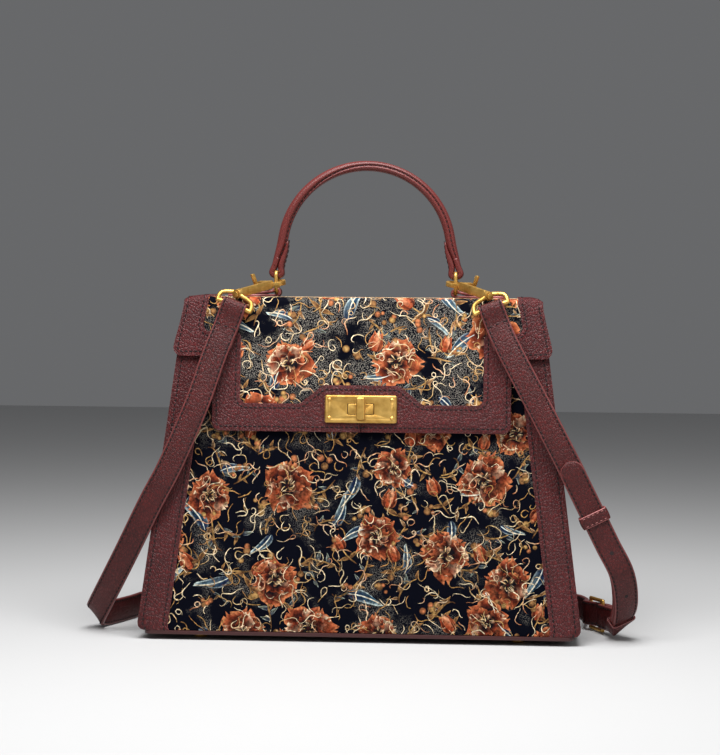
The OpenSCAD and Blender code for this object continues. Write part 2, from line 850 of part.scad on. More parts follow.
// The gap in the jaw, from the shank round to the nose, as angles about the jaw's middle
mouth_start = -160;
mouth_end = -50;
module hook_mouth() {
    translate([hook_length, 0, 0]) linear_extrude(2 * jaw_height, center = true) polygon(concat(
        [[0, 0]],
        arc([0, 0], 2 * (jaw_radius + jaw_wall), mouth_start, mouth_end, corner_steps)
    ));
}
shank_corner = 1.5;
pin_head_wall = 1.2;
pin_head_proud = 0.9;
pin_sunk = 0.5;
module right_hook_body() {
    shank_end = hook_length - jaw_radius - lug_gap;
    pivot_x = hook_length - gate_back;
    color(brass) on_hook() difference() {
        union() {
            shaft(-swivel_room, swivel_room + past, swivel_radius);
            shaft(-swivel_room - pin_head_wall, -swivel_room, swivel_radius + pin_head_proud);
            translate([swivel_room, shank_wall / 2, 0]) rotate([90, 0, 0]) linear_extrude(shank_wall)
                translate([(shank_end - swivel_room) / 2, 0])
                    polygon(box_outline(shank_end - swivel_room, shank_height, shank_corner));
            difference() {
                translate([hook_length, 0, -jaw_height / 2]) cylinder(h = jaw_height, r = jaw_radius + jaw_wall);
                hook_mouth();
            }
            for (s = [-1, 1])
                translate([
                    pivot_x - lug_width / 2,
                    gate_y - lug_proud,
                    s * (gate_height + lug_wall + 2 * lug_gap) / 2 - lug_wall / 2
                ]) cube([lug_width, lug_proud - gate_y, lug_wall]);
            translate([pivot_x, gate_y, -gate_height / 2 - pin_sunk])
                cylinder(h = gate_height + 2 * pin_sunk, r = gate_pin);
        }
        translate([hook_length, 0, -shank_height]) cylinder(h = 2 * shank_height, r = jaw_radius);
    }
}
module left_hook_body() {
    on_left() right_hook_body();
}
thumb_back = 6;
thumb_width = 3;
thumb_lean = 4;
module right_hook_gate() {
    pivot_x = hook_length - gate_back;
    thumb_x = pivot_x - thumb_back;
    thumb_top = shank_height / 2 + thumb_height;
    tip_x = hook_length + (jaw_radius + jaw_wall / 2) * cos(mouth_end) - gate_wall / 2;
    color(brass) on_hook() difference() {
        union() {
            translate([pivot_x, gate_y, -gate_height / 2]) cylinder(h = gate_height, r = gate_hub);
            translate([thumb_x, gate_y - gate_wall / 2, -gate_height / 2])
                cube([tip_x - thumb_x, gate_wall, gate_height]);
            translate([thumb_x, gate_y + gate_wall / 2, 0]) rotate([90, 0, 0]) linear_extrude(gate_wall) polygon([
                [0, -gate_height / 2],
                [thumb_width, -gate_height / 2],
                [thumb_width - thumb_lean, thumb_top],
                [-thumb_lean, thumb_top]
            ]);
        }
        translate([pivot_x, gate_y, -gate_height]) cylinder(h = 2 * gate_height, r = gate_pin + pin_gap);
    }
}
module left_hook_gate() {
    on_left() right_hook_gate();
}

// Strap

function strap_section() =
    let (a = strap_width / 2, b = strap_wall / 2, c = strap_chamfer)
    [[a, c - b], [a, b - c], [a - c, b], [c - a, b], [-a, b - c], [-a, c - b], [c - a, -b], [a - c, -b]];
module strap(rows) {
    places = curve([for (row = rows) row[0]], route_steps);
    acrosses = curve([for (row = rows) row[1]], route_steps);
    offsets = curve([for (row = rows) row[2]], route_steps);
    section = strap_section();
    skin([
        for (i = [0:len(places) - 1])
            let (
                run = along(places, i),
                across = square_to(acrosses[i], run),
                out = cross(run, across)
            )
            [for (p = section) places[i] + p.x * across + (p.y + offsets[i]) * out]
    ]);
}
module strap_long() {
    color(wine) strap(long_route);
}
module strap_short() {
    color(wine) strap(short_route);
}
buckle_line = buckle_front - buckle_heel;
buckle_half = strap_width / 2 + 2;
module buckle_frame() {
    length = norm(buckle_line);
    corners = [[0, 0, -buckle_half], [length, 0, -buckle_half], [length, 0, buckle_half], [0, 0, buckle_half]];
    color(brass) translate(buckle_heel) rotate([0, 0, atan2(buckle_line.y, buckle_line.x)]) union() {
        for (i = [0:3]) {
            rod(corners[i], corners[(i + 1) % 4], buckle_wire);
            ball(corners[i], buckle_wire);
        }
    }
}
module buckle_prong() {
    length = norm(buckle_line);
    prong_wire = 1.1;
    rest = -buckle_wire - prong_wire - pin_gap;
    color(brass) translate(buckle_heel) rotate([0, 0, atan2(buckle_line.y, buckle_line.x)]) union() {
        difference() {
            cube(2 * (buckle_wire + 1.2), center = true);
            translate([0, 0, -buckle_half]) cylinder(h = 2 * buckle_half, r = buckle_wire + pin_gap);
        }
        rod([buckle_wire + 0.6, -1.2, 0], [length + 2, rest - 0.2, 0], prong_wire);
    }
}
// Room round the strap in the keepers, more where the strap twists
keeper_room = 0.5;
low_keeper_room = 2.6;
module keeper(room) {
    thick = 2 * strap_wall + lay_gap + 2 * room;
    wide = strap_width + 2 * room;
    translate([-keeper_length / 2, 0, layer_step / 2]) rotate([90, 0, 90])
        linear_extrude(keeper_length) difference() {
            polygon(box_outline(wide + 2 * keeper_wall, thick + 2 * keeper_wall, 2));
            polygon(box_outline(wide, thick, 0.5));
        }
}
module upper_keeper() {
    color(wine) in_frame(keeper_place, keeper_run, keeper_across) keeper(keeper_room);
}
module lower_keeper() {
    color(wine) in_frame(low_keeper_place, low_keeper_run, low_keeper_across) keeper(low_keeper_room);
}

front_panel();
back_panel();
left_gusset();
right_gusset();
base_panel();
base_board();
lining();
left_front_strip();
right_front_strip();
left_back_strip();
right_back_strip();
feet();
flap_panel();
left_flap_border();
right_flap_border();
lock_plate();
lock_backing();
lock_rivets();
lock_base();
turn_knob();
left_tab();
right_tab();
left_ring();
right_ring();
handle();
left_hook_eye();
right_hook_eye();
left_hook_body();
right_hook_body();
left_hook_gate();
right_hook_gate();
strap_long();
strap_short();
buckle_frame();
buckle_prong();
upper_keeper();
lower_keeper();
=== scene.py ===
# %% [markdown]
# A printed flap bag with leather trim, brass fittings and a clip-on shoulder strap.
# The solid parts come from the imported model, which is loaded as a fixed frame in metres.
# Everything below is placed on that frame, so nothing has to be fitted afterwards.

# %% Load the frame
import json
import math
import random

import bmesh
import bpy
from mathutils import Matrix, Vector

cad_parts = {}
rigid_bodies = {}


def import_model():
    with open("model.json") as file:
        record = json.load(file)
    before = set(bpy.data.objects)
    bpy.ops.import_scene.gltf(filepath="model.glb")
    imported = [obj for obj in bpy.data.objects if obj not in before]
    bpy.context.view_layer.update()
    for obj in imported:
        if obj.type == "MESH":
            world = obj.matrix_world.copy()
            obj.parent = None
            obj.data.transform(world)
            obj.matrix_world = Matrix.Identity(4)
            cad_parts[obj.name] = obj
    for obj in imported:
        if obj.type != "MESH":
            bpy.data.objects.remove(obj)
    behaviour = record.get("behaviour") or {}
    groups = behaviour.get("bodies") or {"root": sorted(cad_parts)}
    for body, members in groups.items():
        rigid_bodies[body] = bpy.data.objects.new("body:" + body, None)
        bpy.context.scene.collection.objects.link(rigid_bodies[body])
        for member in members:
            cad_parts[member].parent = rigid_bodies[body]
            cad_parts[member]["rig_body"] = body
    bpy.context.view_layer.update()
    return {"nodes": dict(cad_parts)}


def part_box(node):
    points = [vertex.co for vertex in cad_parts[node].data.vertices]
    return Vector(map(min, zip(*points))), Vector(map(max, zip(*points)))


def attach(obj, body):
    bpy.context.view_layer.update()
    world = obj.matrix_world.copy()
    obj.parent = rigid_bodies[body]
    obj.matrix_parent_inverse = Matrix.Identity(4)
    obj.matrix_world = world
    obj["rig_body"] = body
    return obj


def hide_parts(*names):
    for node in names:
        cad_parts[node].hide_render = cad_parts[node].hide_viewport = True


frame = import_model()
nodes = frame["nodes"]

# %% [markdown]
# The bag is a leaning box. Its sizes are read from the frame where a box tells them, and the few
# that a box can't tell are named here, in metres. The helpers turn places on a flat pattern, as a
# bag maker would cut it, into places on the bag.

# %% Sizes of the bag
MM = 0.001
PANEL_WALL = 3 * MM
FLAP_WALL = 2.2 * MM
BAND_WALL = 1.5 * MM
STRIP_WALL = 1.5 * MM
STRIP_WIDTH = 22 * MM
LAY_GAP = 0.3 * MM
FOLD_RADIUS = 1.7 * MM
WING_BAND = 18 * MM
TONGUE_BAND = 20 * MM
RAISE_HEIGHT = 13.7 * MM
RAISE_TOP = 27.5 * MM
RAISE_FOOT = 44.5 * MM
TONGUE_HALF = 108 * MM
WING_LEVEL = 204.03 * MM
OUTER_CORNER = 6 * MM
TUCK = 6 * MM
TUCK_CUTS = [0.4 * MM, 1.2 * MM, 2.4 * MM, 4 * MM, 6 * MM]
SHOULDER = 9 * MM
SHOULDER_DROP = 3.4 * MM
SHOULDER_FADE = 26 * MM
INNER_CORNER = 5 * MM
TOP_HALF = 130 * MM
WING_FLARE = 1.6 * MM
WING_LIP = 0.3 * MM

panel_low, panel_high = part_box("front_panel")
flap_low, flap_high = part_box("flap_panel")
floor_z = panel_low[2]
top_z = panel_high[2]
base_half = panel_high[0]
base_deep = -panel_low[1]
top_deep = -panel_high[1] + PANEL_WALL
lean = math.atan((base_deep - top_deep) / (top_z - floor_z))
slope = (top_z - floor_z) / math.cos(lean)
flap_gap = STRIP_WALL + LAY_GAP
wing_low_half = flap_high[0] + WING_FLARE
wing_top_half = TOP_HALF + WING_LIP
print("lean", round(math.degrees(lean), 2), "slope", round(slope, 4))


# %% Flat pattern to bag
def half_width(up):
    """Half the body's width at a height up the sloping front."""
    return base_half + (TOP_HALF - base_half) * up / slope


def tuck(up):
    """How far the lower corners draw in, where the soft sides turn under."""
    return TUCK - math.sqrt(TUCK ** 2 - min(TUCK, max(0, TUCK - up)) ** 2)


def front_at(x, up, out):
    """A place on the front: across, up the slope, and out of the face."""
    y = -base_deep + up * math.sin(lean) - out * math.cos(lean)
    drawn = x - math.copysign(tuck(up) * (abs(x) / half_width(up)) ** 8, x)
    return Vector((drawn, y, floor_z + up * math.cos(lean) + out * math.sin(lean)))


def back_at(x, up, out):
    """The same place on the back, as seen from behind."""
    p = front_at(x, up, out)
    return Vector((-p.x, -p.y, p.z))


fold_y = top_deep + (flap_gap - FOLD_RADIUS + FOLD_RADIUS * math.sin(lean)) / math.cos(lean)
fold_z = top_z - FOLD_RADIUS
fold_angle = math.pi / 2 - lean
fold_length = fold_angle * (FOLD_RADIUS + FLAP_WALL)
top_length = 2 * fold_y
flap_length = 2 * fold_length + top_length


def flap_section(along, off):
    """Depth and height on the flap: along runs from the front fold back, minus along is the front drop."""
    reach = FOLD_RADIUS + off
    if along > flap_length / 2:
        y, z = flap_section(flap_length - along, off)
        return -y, z
    if along <= 0:
        y = -fold_y - reach * math.cos(lean) + along * math.sin(lean)
        return y, fold_z + reach * math.sin(lean) + along * math.cos(lean)
    if along < fold_length:
        turn = lean + fold_angle * along / fold_length
        return -fold_y - reach * math.cos(turn), fold_z + reach * math.sin(turn)
    return -fold_y + along - fold_length, fold_z + reach


def flap_at(x, along, off):
    """A place on the flap: across, along its length, and off its inner face. The top's ends droop."""
    y, z = flap_section(along, off)
    hang = max(0, -along, along - flap_length)
    outer = max(0, abs(x) - wing_top_half + SHOULDER) / SHOULDER
    return Vector((x, y, z - SHOULDER_DROP * outer ** 2 * max(0, 1 - hang / SHOULDER_FADE)))


def along_of(z):
    """How far along the front drop a height lies."""
    return (z - flap_section(0, FLAP_WALL)[1]) / math.cos(lean)


tongue_along = along_of(flap_low[2])
wing_along = along_of(WING_LEVEL)
shoulder_along = wing_along + WING_BAND
bar_along = tongue_along + TONGUE_BAND


def wing_half(along):
    """Half the flap's width, which grows down the wings."""
    hang = max(0, -along, along - flap_length)
    return wing_top_half + (wing_low_half - wing_top_half) * min(1, hang / -wing_along)


print("flap drop", round(tongue_along, 4), "wing drop", round(wing_along, 4))

# %% [markdown]
# The camera stands where the photographer stood: in front, a little to the right, level with the
# top of the bag. Its place was solved from the bag's corners, and the long lens keeps it flat.

# %% Camera
IMAGE_WIDTH = 720
IMAGE_HEIGHT = 755
FOCAL_PIXELS = 2155.5
SENSOR = 36.0
camera_place = Vector((0.0947, -1.5999, 0.2514))
camera_yaw = math.radians(-3.53)
camera_pitch = math.radians(-2.27)
camera_roll = math.radians(0.5)
scene = bpy.context.scene


def add_object(name, data):
    """An object of the scene with its data."""
    thing = bpy.data.objects.new(name, data)
    scene.collection.objects.link(thing)
    return thing


ahead = Vector((math.sin(camera_yaw) * math.cos(camera_pitch),
                math.cos(camera_yaw) * math.cos(camera_pitch),
                math.sin(camera_pitch)))
level = Vector((math.cos(camera_yaw), -math.sin(camera_yaw), 0))
upright = level.cross(ahead)
right = level * math.cos(camera_roll) + upright * math.sin(camera_roll)
above = upright * math.cos(camera_roll) - level * math.sin(camera_roll)
camera_data = bpy.data.cameras.new("camera")
camera_data.lens = FOCAL_PIXELS / max(IMAGE_WIDTH, IMAGE_HEIGHT) * SENSOR
camera_data.sensor_width = SENSOR
scene.camera = add_object("camera", camera_data)
turned = Matrix((right, above, -ahead)).transposed()
scene.camera.matrix_world = Matrix.Translation(camera_place) @ turned.to_4x4()
print("lens", round(camera_data.lens, 1))

# %% [markdown]
# Soft studio light: a broad key from the upper left, a weaker fill from the right and a soft panel
# overhead. The floor is plain and pale, and the world is an even grey that the brass can mirror.

# %% Light and floor
BAG_MIDDLE = Vector((0, 0, 0.16))
LAMPS = {
    "key_light": ((-0.3, -0.62, 0.98), 0.55, 9),
    "fill_light": ((1.2, -1.1, 0.8), 0.9, 5),
    "top_light": ((0.1, -0.3, 1.0), 0.6, 13),
}
WORLD_GREY = (0.62, 0.63, 0.65, 1)
WORLD_STRENGTH = 0.22
FLOOR_GREY = (0.52, 0.52, 0.52, 1)
FLOOR_ROUGHNESS = 0.7
FLOOR_HALF = 3.0
scene.view_settings.view_transform = "Standard"
for name, (place, size, power) in LAMPS.items():
    data = bpy.data.lights.new(name, "AREA")
    data.size = size
    data.energy = power
    lamp = add_object(name, data)
    lamp.location = place
    lamp.rotation_euler = (BAG_MIDDLE - Vector(place)).to_track_quat("-Z", "Y").to_euler()

world = bpy.data.worlds.new("studio")
world.use_nodes = True
background = world.node_tree.nodes["Background"].inputs
background["Color"].default_value = WORLD_GREY
background["Strength"].default_value = WORLD_STRENGTH
scene.world = world

floor_mesh = bpy.data.meshes.new("floor")
floor_corners = [(FLOOR_HALF * x, FLOOR_HALF * y, 0) for x, y in ((-1, -1), (1, -1), (1, 1), (-1, 1))]
floor_mesh.from_pydata(floor_corners, [], [(0, 1, 2, 3)])
floor = add_object("floor", floor_mesh)
floor_paint = bpy.data.materials.new("floor_paint")
floor_paint.use_nodes = True
floor_shader = floor_paint.node_tree.nodes["Principled BSDF"].inputs
floor_shader["Base Color"].default_value = FLOOR_GREY
floor_shader["Roughness"].default_value = FLOOR_ROUGHNESS
floor_mesh.materials.append(floor_paint)
print("lights and floor are set")

# %% [markdown]
# Leather and cloth share two effects. The grain group makes the pebbles of tumbled leather from
# two sizes of cells, and the weave group makes the fine threads of coated cloth. Each is built
# once as a node group and gets its own values in each material.


# %% Node helpers
def linear(r, g, b):
    """A screen colour, 0 to 255, as the renderer's linear colour."""
    def one(c):
        c = c / 255
        return c / 12.92 if c <= 0.04045 else ((c + 0.055) / 1.055) ** 2.4
    return (one(r), one(g), one(b), 1.0)


def feed(node, inputs):
    """Gives a node's inputs, by name or number, their values or links them to other sockets."""
    for name, value in inputs.items():
        if isinstance(value, bpy.types.NodeSocket):
            node.id_data.links.new(value, node.inputs[name])
        else:
            node.inputs[name].default_value = value


def add_node(tree, kind, inputs=None, **settings):
    """A node with its settings and its inputs."""
    node = tree.nodes.new(kind)
    for name, value in settings.items():
        setattr(node, name, value)
    feed(node, inputs or {})
    return node


def new_group(name, kind, inputs, outputs):
    """A node group with named sockets: its tree, the sockets it is given and the node it answers by."""
    tree = bpy.data.node_groups.new(name, kind)
    for way, sockets in (("INPUT", inputs), ("OUTPUT", outputs)):
        for socket, carries in sockets.items():
            tree.interface.new_socket(socket, in_out=way, socket_type="NodeSocket" + carries)
    return tree, add_node(tree, "NodeGroupInput").outputs, add_node(tree, "NodeGroupOutput")


def object_place(tree):
    """The place on the object, as a socket."""
    return add_node(tree, "ShaderNodeTexCoord").outputs["Object"]


def add_noise(tree, place, scale, detail, roughness=0.5):
    """The outputs of a noise texture."""
    inputs = {"Vector": place, "Scale": scale, "Detail": detail, "Roughness": roughness}
    return add_node(tree, "ShaderNodeTexNoise", inputs).outputs


def ramp(tree, share, stops):
    """The colour of a ramp at a share, from places and grey values or colours."""
    node = add_node(tree, "ShaderNodeValToRGB", {"Fac": share})
    points = node.color_ramp.elements
    while len(points) < len(stops):
        points.new(0.5)
    for point, (place, value) in zip(points, stops):
        point.position = place
        point.color = value if isinstance(value, tuple) else (value, value, value, 1)
    return node.outputs["Color"]


def math_node(tree, operation, first, second):
    """The result of an operation on two sockets or numbers."""
    return add_node(tree, "ShaderNodeMath", {0: first, 1: second}, operation=operation).outputs[0]


def mix_node(tree, share, one, two, blend_type="MIX"):
    """Two colours mixed by a share."""
    inputs = {"Factor": share, "A": one, "B": two}
    return add_node(tree, "ShaderNodeMix", inputs, data_type="RGBA", blend_type=blend_type).outputs["Result"]


# %% The grain of leather
def leather_grain_group():
    """Pebbles of two sizes and a slow change of tone, as colour, roughness and height; the colour has
    painted shade in the valleys.
    """
    tree, given, result = new_group(
        "leather_grain", "ShaderNodeTree",
        {"Dark": "Color", "Light": "Color", "Cells": "Float", "Shine": "Float"},
        {"Color": "Color", "Roughness": "Float", "Height": "Float"})
    place = object_place(tree)
    inputs = {"Vector": place, "Rotation": (0, 0.6, 0), "Scale": (1, 1, 0.62)}
    drawn = add_node(tree, "ShaderNodeMapping", inputs).outputs["Vector"]
    warp = add_noise(tree, place, 300.0, 2.0)["Color"]
    bend = {0: warp, 1: (0.0008, 0.0008, 0.0008), 2: drawn}
    bent = add_node(tree, "ShaderNodeVectorMath", bend, operation="MULTIPLY_ADD").outputs[0]

    def cells(scale, feature):
        inputs = {"Vector": bent, "Scale": scale}
        return add_node(tree, "ShaderNodeTexVoronoi", inputs, feature=feature).outputs

    def times(first, second):
        return math_node(tree, "MULTIPLY", first, second)

    def plus(first, second):
        return math_node(tree, "ADD", first, second)

    coarse = cells(given["Cells"], "DISTANCE_TO_EDGE")["Distance"]
    fine = cells(times(given["Cells"], 2.3), "DISTANCE_TO_EDGE")["Distance"]
    dome = ramp(tree, coarse, [(0.0, 0.0), (0.06, 0.35), (0.2, 0.85), (0.45, 1.0)])
    small = ramp(tree, fine, [(0.0, 0.0), (0.2, 1.0)])
    height = plus(times(dome, 0.8), times(small, 0.2))
    luck = add_node(tree, "ShaderNodeSeparateColor", {"Color": cells(given["Cells"], "F1")["Color"]})
    # Painted highlight: some pebble tops get a lighter colour, and a lower roughness that makes them shine.
    glint = times(height, times(luck.outputs["Red"], 0.3))
    tone = ramp(tree, add_noise(tree, place, 22.0, 4.0, 0.6)["Fac"], [(0.3, 0.0), (0.75, 1.0)])
    # The colour rises with the pebbles' height: painted shade in the valleys between them.
    share = plus(plus(plus(times(height, 0.34), times(tone, 0.22)), glint), 0.12)
    feed(result, {
        "Color": mix_node(tree, share, given["Dark"], given["Light"]),
        "Roughness": math_node(tree, "SUBTRACT", given["Shine"], times(glint, 0.45)),
        "Height": height,
    })
    return tree


def weave_group():
    """Fine crossing threads, as height."""
    tree, given, result = new_group(
        "cloth_weave", "ShaderNodeTree", {"Threads": "Float"}, {"Height": "Float"})
    inputs = {"Vector": object_place(tree), "Scale": given["Threads"], "Distortion": 1.5, "Detail": 1.0}
    waves = [add_node(tree, "ShaderNodeTexWave", inputs, wave_type="BANDS", bands_direction=way)
             for way in ("X", "Z")]
    feed(result, {"Height": math_node(tree, "MAXIMUM", *(wave.outputs["Fac"] for wave in waves))})
    return tree


leather_grain = leather_grain_group()
cloth_weave = weave_group()
print("node groups:", leather_grain.name, cloth_weave.name)


# %% Leather, thread, edge paint and brass
LEATHER_SPECULAR = 0.3
LEATHER_DEPTH = 0.0015


def new_material(name):
    """A material with its tree and its shader."""
    material = bpy.data.materials.new(name)
    material.use_nodes = True
    return material, material.node_tree, material.node_tree.nodes["Principled BSDF"]


def add_bump(shader, height, strength, depth):
    """Raises the surface by a height socket."""
    inputs = {"Strength": strength, "Distance": depth, "Height": height}
    feed(shader, {"Normal": add_node(shader.id_data, "ShaderNodeBump", inputs).outputs["Normal"]})


def leather_material(name, dark, light, cells, shine, strength):
    """Grained leather between two tones."""
    material, tree, shader = new_material(name)
    inputs = {"Dark": dark, "Light": light, "Cells": cells, "Shine": shine}
    grain = add_node(tree, "ShaderNodeGroup", inputs, node_tree=leather_grain).outputs
    feed(shader, {"Base Color": grain["Color"], "Roughness": grain["Roughness"],
                  "Specular IOR Level": LEATHER_SPECULAR})
    add_bump(shader, grain["Height"], strength, LEATHER_DEPTH)
    return material


def plain_material(name, colour, roughness, blotch):
    """A smooth finish with a slow change of tone, for small parts."""
    material, tree, shader = new_material(name)
    noise = add_noise(tree, object_place(tree), blotch, 3.0)["Fac"]
    dim = tuple(c * 0.72 for c in colour[:3]) + (1,)
    feed(shader, {"Base Color": ramp(tree, noise, [(0.25, dim), (0.75, colour)]), "Roughness": roughness})
    add_bump(shader, noise, 0.15, 0.0002)
    return material


wine_leather = leather_material("wine_leather", linear(10, 2, 4), linear(100, 31, 32), 560.0, 0.5, 0.44)
strap_leather = leather_material("strap_leather", linear(14, 3, 4), linear(96, 31, 30), 620.0, 0.5, 0.36)
handle_leather = leather_material("handle_leather", linear(76, 31, 29), linear(110, 49, 46), 900.0, 0.36,
                                  0.12)
# Edge paint, lightened to the colour of the light on the rounded edges: partly the real paint, partly a
# painted highlight.
edge_paint_and_sheen = plain_material("edge_paint_and_sheen", linear(158, 86, 84), 0.4, 90.0)
strap_edge = plain_material("strap_edge", linear(112, 52, 50), 0.4, 90.0)
# The base's colour is its edge paint darkened by painted shade from under the bag.
base_paint_and_shade = plain_material("base_paint_and_shade", linear(64, 24, 24), 0.5, 60.0)
thread = plain_material("thread", linear(16, 5, 7), 0.95, 600.0)
pale_thread = plain_material("pale_thread", linear(150, 90, 86), 0.7, 600.0)
lining_cloth = plain_material("lining_cloth", linear(150, 130, 104), 0.85, 300.0)
board_grey = plain_material("board_grey", linear(120, 108, 90), 0.9, 120.0)
# Painted shade: the dark of the discs that stand in for the strap's holes.
hole_shade = plain_material("hole_shade", linear(26, 10, 11), 0.8, 500.0)


def brass_material():
    """Pale matt brass with fine brush marks and a slow change of tone."""
    material, tree, shader = new_material("antique_brass")
    place = object_place(tree)
    stretch = add_node(tree, "ShaderNodeMapping", {"Vector": place, "Scale": (900, 900, 5000)})
    brush = add_noise(tree, stretch.outputs["Vector"], 1.0, 3.0)["Fac"]
    blotch = add_noise(tree, place, 160.0, 3.0)["Fac"]
    feed(shader, {
        "Base Color": ramp(tree, blotch, [(0.3, linear(192, 146, 70)), (0.7, linear(228, 186, 104))]),
        "Roughness": ramp(tree, brush, [(0.2, 0.34), (0.8, 0.5)]),
        "Metallic": 0.85,
    })
    add_bump(shader, brush, 0.08, 0.0001)
    return material


antique_brass = brass_material()
print("leather, thread and brass are mixed")


# %% Printed cloth
WEAVE_THREADS = 420.0


def finish_cloth(shader, colour, roughness, specular, strength):
    """Gives a shader its colour, its sheen and the weave of the cloth."""
    weave = add_node(shader.id_data, "ShaderNodeGroup", {"Threads": WEAVE_THREADS}, node_tree=cloth_weave)
    feed(shader, {"Base Color": colour, "Roughness": roughness, "Specular IOR Level": specular})
    add_bump(shader, weave.outputs["Height"], strength, 0.0002)


def print_cloth_material(name, bare, full):
    """The dark ground of the print, with grey stippled clouds between two noise levels and a fine weave."""
    material, tree, shader = new_material(name)
    place = object_place(tree)
    patch = ramp(tree, add_noise(tree, place, 38.0, 3.0, 0.55)["Fac"], [(bare, 0.0), (full, 1.0)])
    dots = add_node(tree, "ShaderNodeTexVoronoi", {"Vector": place, "Scale": 1350.0})
    speck = ramp(tree, dots.outputs["Distance"], [(0.3, 1.0), (0.5, 0.0)])
    mask = math_node(tree, "MULTIPLY", patch, speck)
    colour = mix_node(tree, mask, linear(7, 8, 17), linear(136, 131, 122))
    finish_cloth(shader, colour, 0.7, 0.02, 0.25)
    return material


def print_paint_material(name, low, high):
    """The print's inks, taken from each point's own colour and mottled between two strengths."""
    material, tree, shader = new_material(name)
    ink = add_node(tree, "ShaderNodeAttribute", attribute_name="paint")
    noise = add_noise(tree, object_place(tree), 520.0, 4.0)["Fac"]
    shade = ramp(tree, noise, [(0.32, low), (0.68, high)])
    colour = mix_node(tree, 1.0, ink.outputs["Color"], shade, "MULTIPLY")
    finish_cloth(shader, colour, 0.6, 0.06, 0.2)
    return material


# The panels' ground and inks are darker copies and the flap's are lighter ones: painted shade on the front
# and back below the flap, painted light on the flap.
panel_ground_shaded = print_cloth_material("panel_ground_shaded", 0.52, 0.76)
flap_ground_lit = print_cloth_material("flap_ground_lit", 0.41, 0.55)
panel_ink_shaded = print_paint_material("panel_ink_shaded", 0.2, 1.12)
flap_ink_lit = print_paint_material("flap_ink_lit", 0.5, 1.25)
print("cloth is mixed")

# %% [markdown]
# Every soft piece is either a flat pattern laid on the bag or a ribbon swept along a path. A real
# pattern piece is cut, skived at its edges and stitched; here its outline is cut into small faces,
# given its thickness and bent into place, and its edges are rounded by a small bevel.


# %% Mesh helpers
def mesh_piece(name, points, faces, *materials):
    """A smooth mesh object."""
    mesh = bpy.data.meshes.new(name)
    mesh.from_pydata([tuple(p) for p in points], [], faces)
    for material in materials:
        mesh.materials.append(material)
    mesh.shade_smooth()
    return add_object(name, mesh)


def faced_out(piece):
    """Turns the faces of a closed piece outwards."""
    shape = bmesh.new()
    shape.from_mesh(piece.data)
    bmesh.ops.recalc_face_normals(shape, faces=shape.faces[:])
    shape.to_mesh(piece.data)
    shape.free()
    return piece


def settle(piece, body, slot, *stands_for):
    """Puts a piece on its body and hides the CAD nodes that it stands for; the slot is not used."""
    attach(piece, body)
    if stands_for:
        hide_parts(*stands_for)
    return piece


def baked(piece, sharp_angle):
    """Turns a piece's modifiers into plain mesh, with crisp edges over an angle."""
    graph = bpy.context.evaluated_depsgraph_get()
    mesh = bpy.data.meshes.new_from_object(piece.evaluated_get(graph))
    mesh.name = piece.name
    piece.modifiers.clear()
    piece.data = mesh
    mesh.shade_smooth()
    mesh.set_sharp_from_angle(angle=math.radians(sharp_angle))
    return piece


def bevel(piece, width, angle=35, finish=-1):
    """Rounds a piece's sharp edges, in its own finish or in another of its materials."""
    rounding = piece.modifiers.new("rounding", "BEVEL")
    rounding.width = width
    rounding.segments = 2
    rounding.material = finish
    rounding.limit_method = "ANGLE"
    rounding.angle_limit = math.radians(angle)
    rounding.use_clamp_overlap = True
    return baked(piece, 50)


def rounded(corners, steps=6):
    """An outline with its corners rounded, from rows of two places and a radius."""
    outline = []
    for i, (a, b, radius) in enumerate(corners):
        corner = Vector((a, b))
        if radius == 0:
            outline.append(corner)
            continue
        before = (Vector(corners[i - 1][:2]) - corner).normalized()
        after = (Vector(corners[(i + 1) % len(corners)][:2]) - corner).normalized()
        half = before.angle(after) / 2
        middle = corner + (before + after).normalized() * radius / math.sin(half)
        start = corner + before * radius / math.tan(half) - middle
        finish = corner + after * radius / math.tan(half) - middle
        first = math.atan2(start.y, start.x)
        turn = (math.atan2(finish.y, finish.x) - first + 3 * math.pi) % (2 * math.pi) - math.pi
        for k in range(steps + 1):
            angle = first + turn * k / steps
            outline.append(middle + radius * Vector((math.cos(angle), math.sin(angle))))
    return outline


def stepped(low, high, step):
    """Even places between two ends, about a step apart."""
    count = max(1, round((high - low) / step))
    return [low + (high - low) * i / count for i in range(1, count)]


def plate(name, outline, at, low, high, cuts_across, cuts_along, materials, rounding, lined=False):
    """A pattern piece: an outline cut into small faces, thickened and bent onto the bag.

    A second material goes on its edges, and on its back if it is lined.
    """
    flat = bmesh.new()
    flat.faces.new([flat.verts.new((p[0], p[1], 0)) for p in outline]).normal_update()
    bmesh.ops.triangulate(flat, faces=flat.faces[:], ngon_method="EAR_CLIP")
    for normal, cuts in ((Vector((1, 0, 0)), cuts_across), (Vector((0, 1, 0)), cuts_along)):
        for cut in cuts:
            bmesh.ops.bisect_plane(flat, geom=flat.verts[:] + flat.edges[:] + flat.faces[:], dist=1e-6,
                                   plane_co=cut * normal, plane_no=normal)
    bmesh.ops.remove_doubles(flat, verts=flat.verts[:], dist=1e-6)
    flat.verts.index_update()
    count = len(flat.verts)
    points = [at(v.co.x, v.co.y, high) for v in flat.verts]
    points += [at(v.co.x, v.co.y, low) for v in flat.verts]
    faces = []
    for face in flat.faces:
        ring = [v.index for v in face.verts]
        faces.append(ring)
        faces.append([i + count for i in reversed(ring)])
    walls = len(faces)
    for edge in flat.edges:
        if len(edge.link_faces) == 1:
            a, b = (v.index for v in edge.verts)
            faces.append([b, a, a + count, b + count])
    flat.free()
    piece = mesh_piece(name, points, faces, *materials)
    if len(materials) > 1:
        for i, face in enumerate(piece.data.polygons):
            if i >= walls or (lined and i % 2):
                face.material_index = 1
    faced_out(piece)
    return bevel(piece, rounding, finish=len(materials) - 1) if rounding else piece


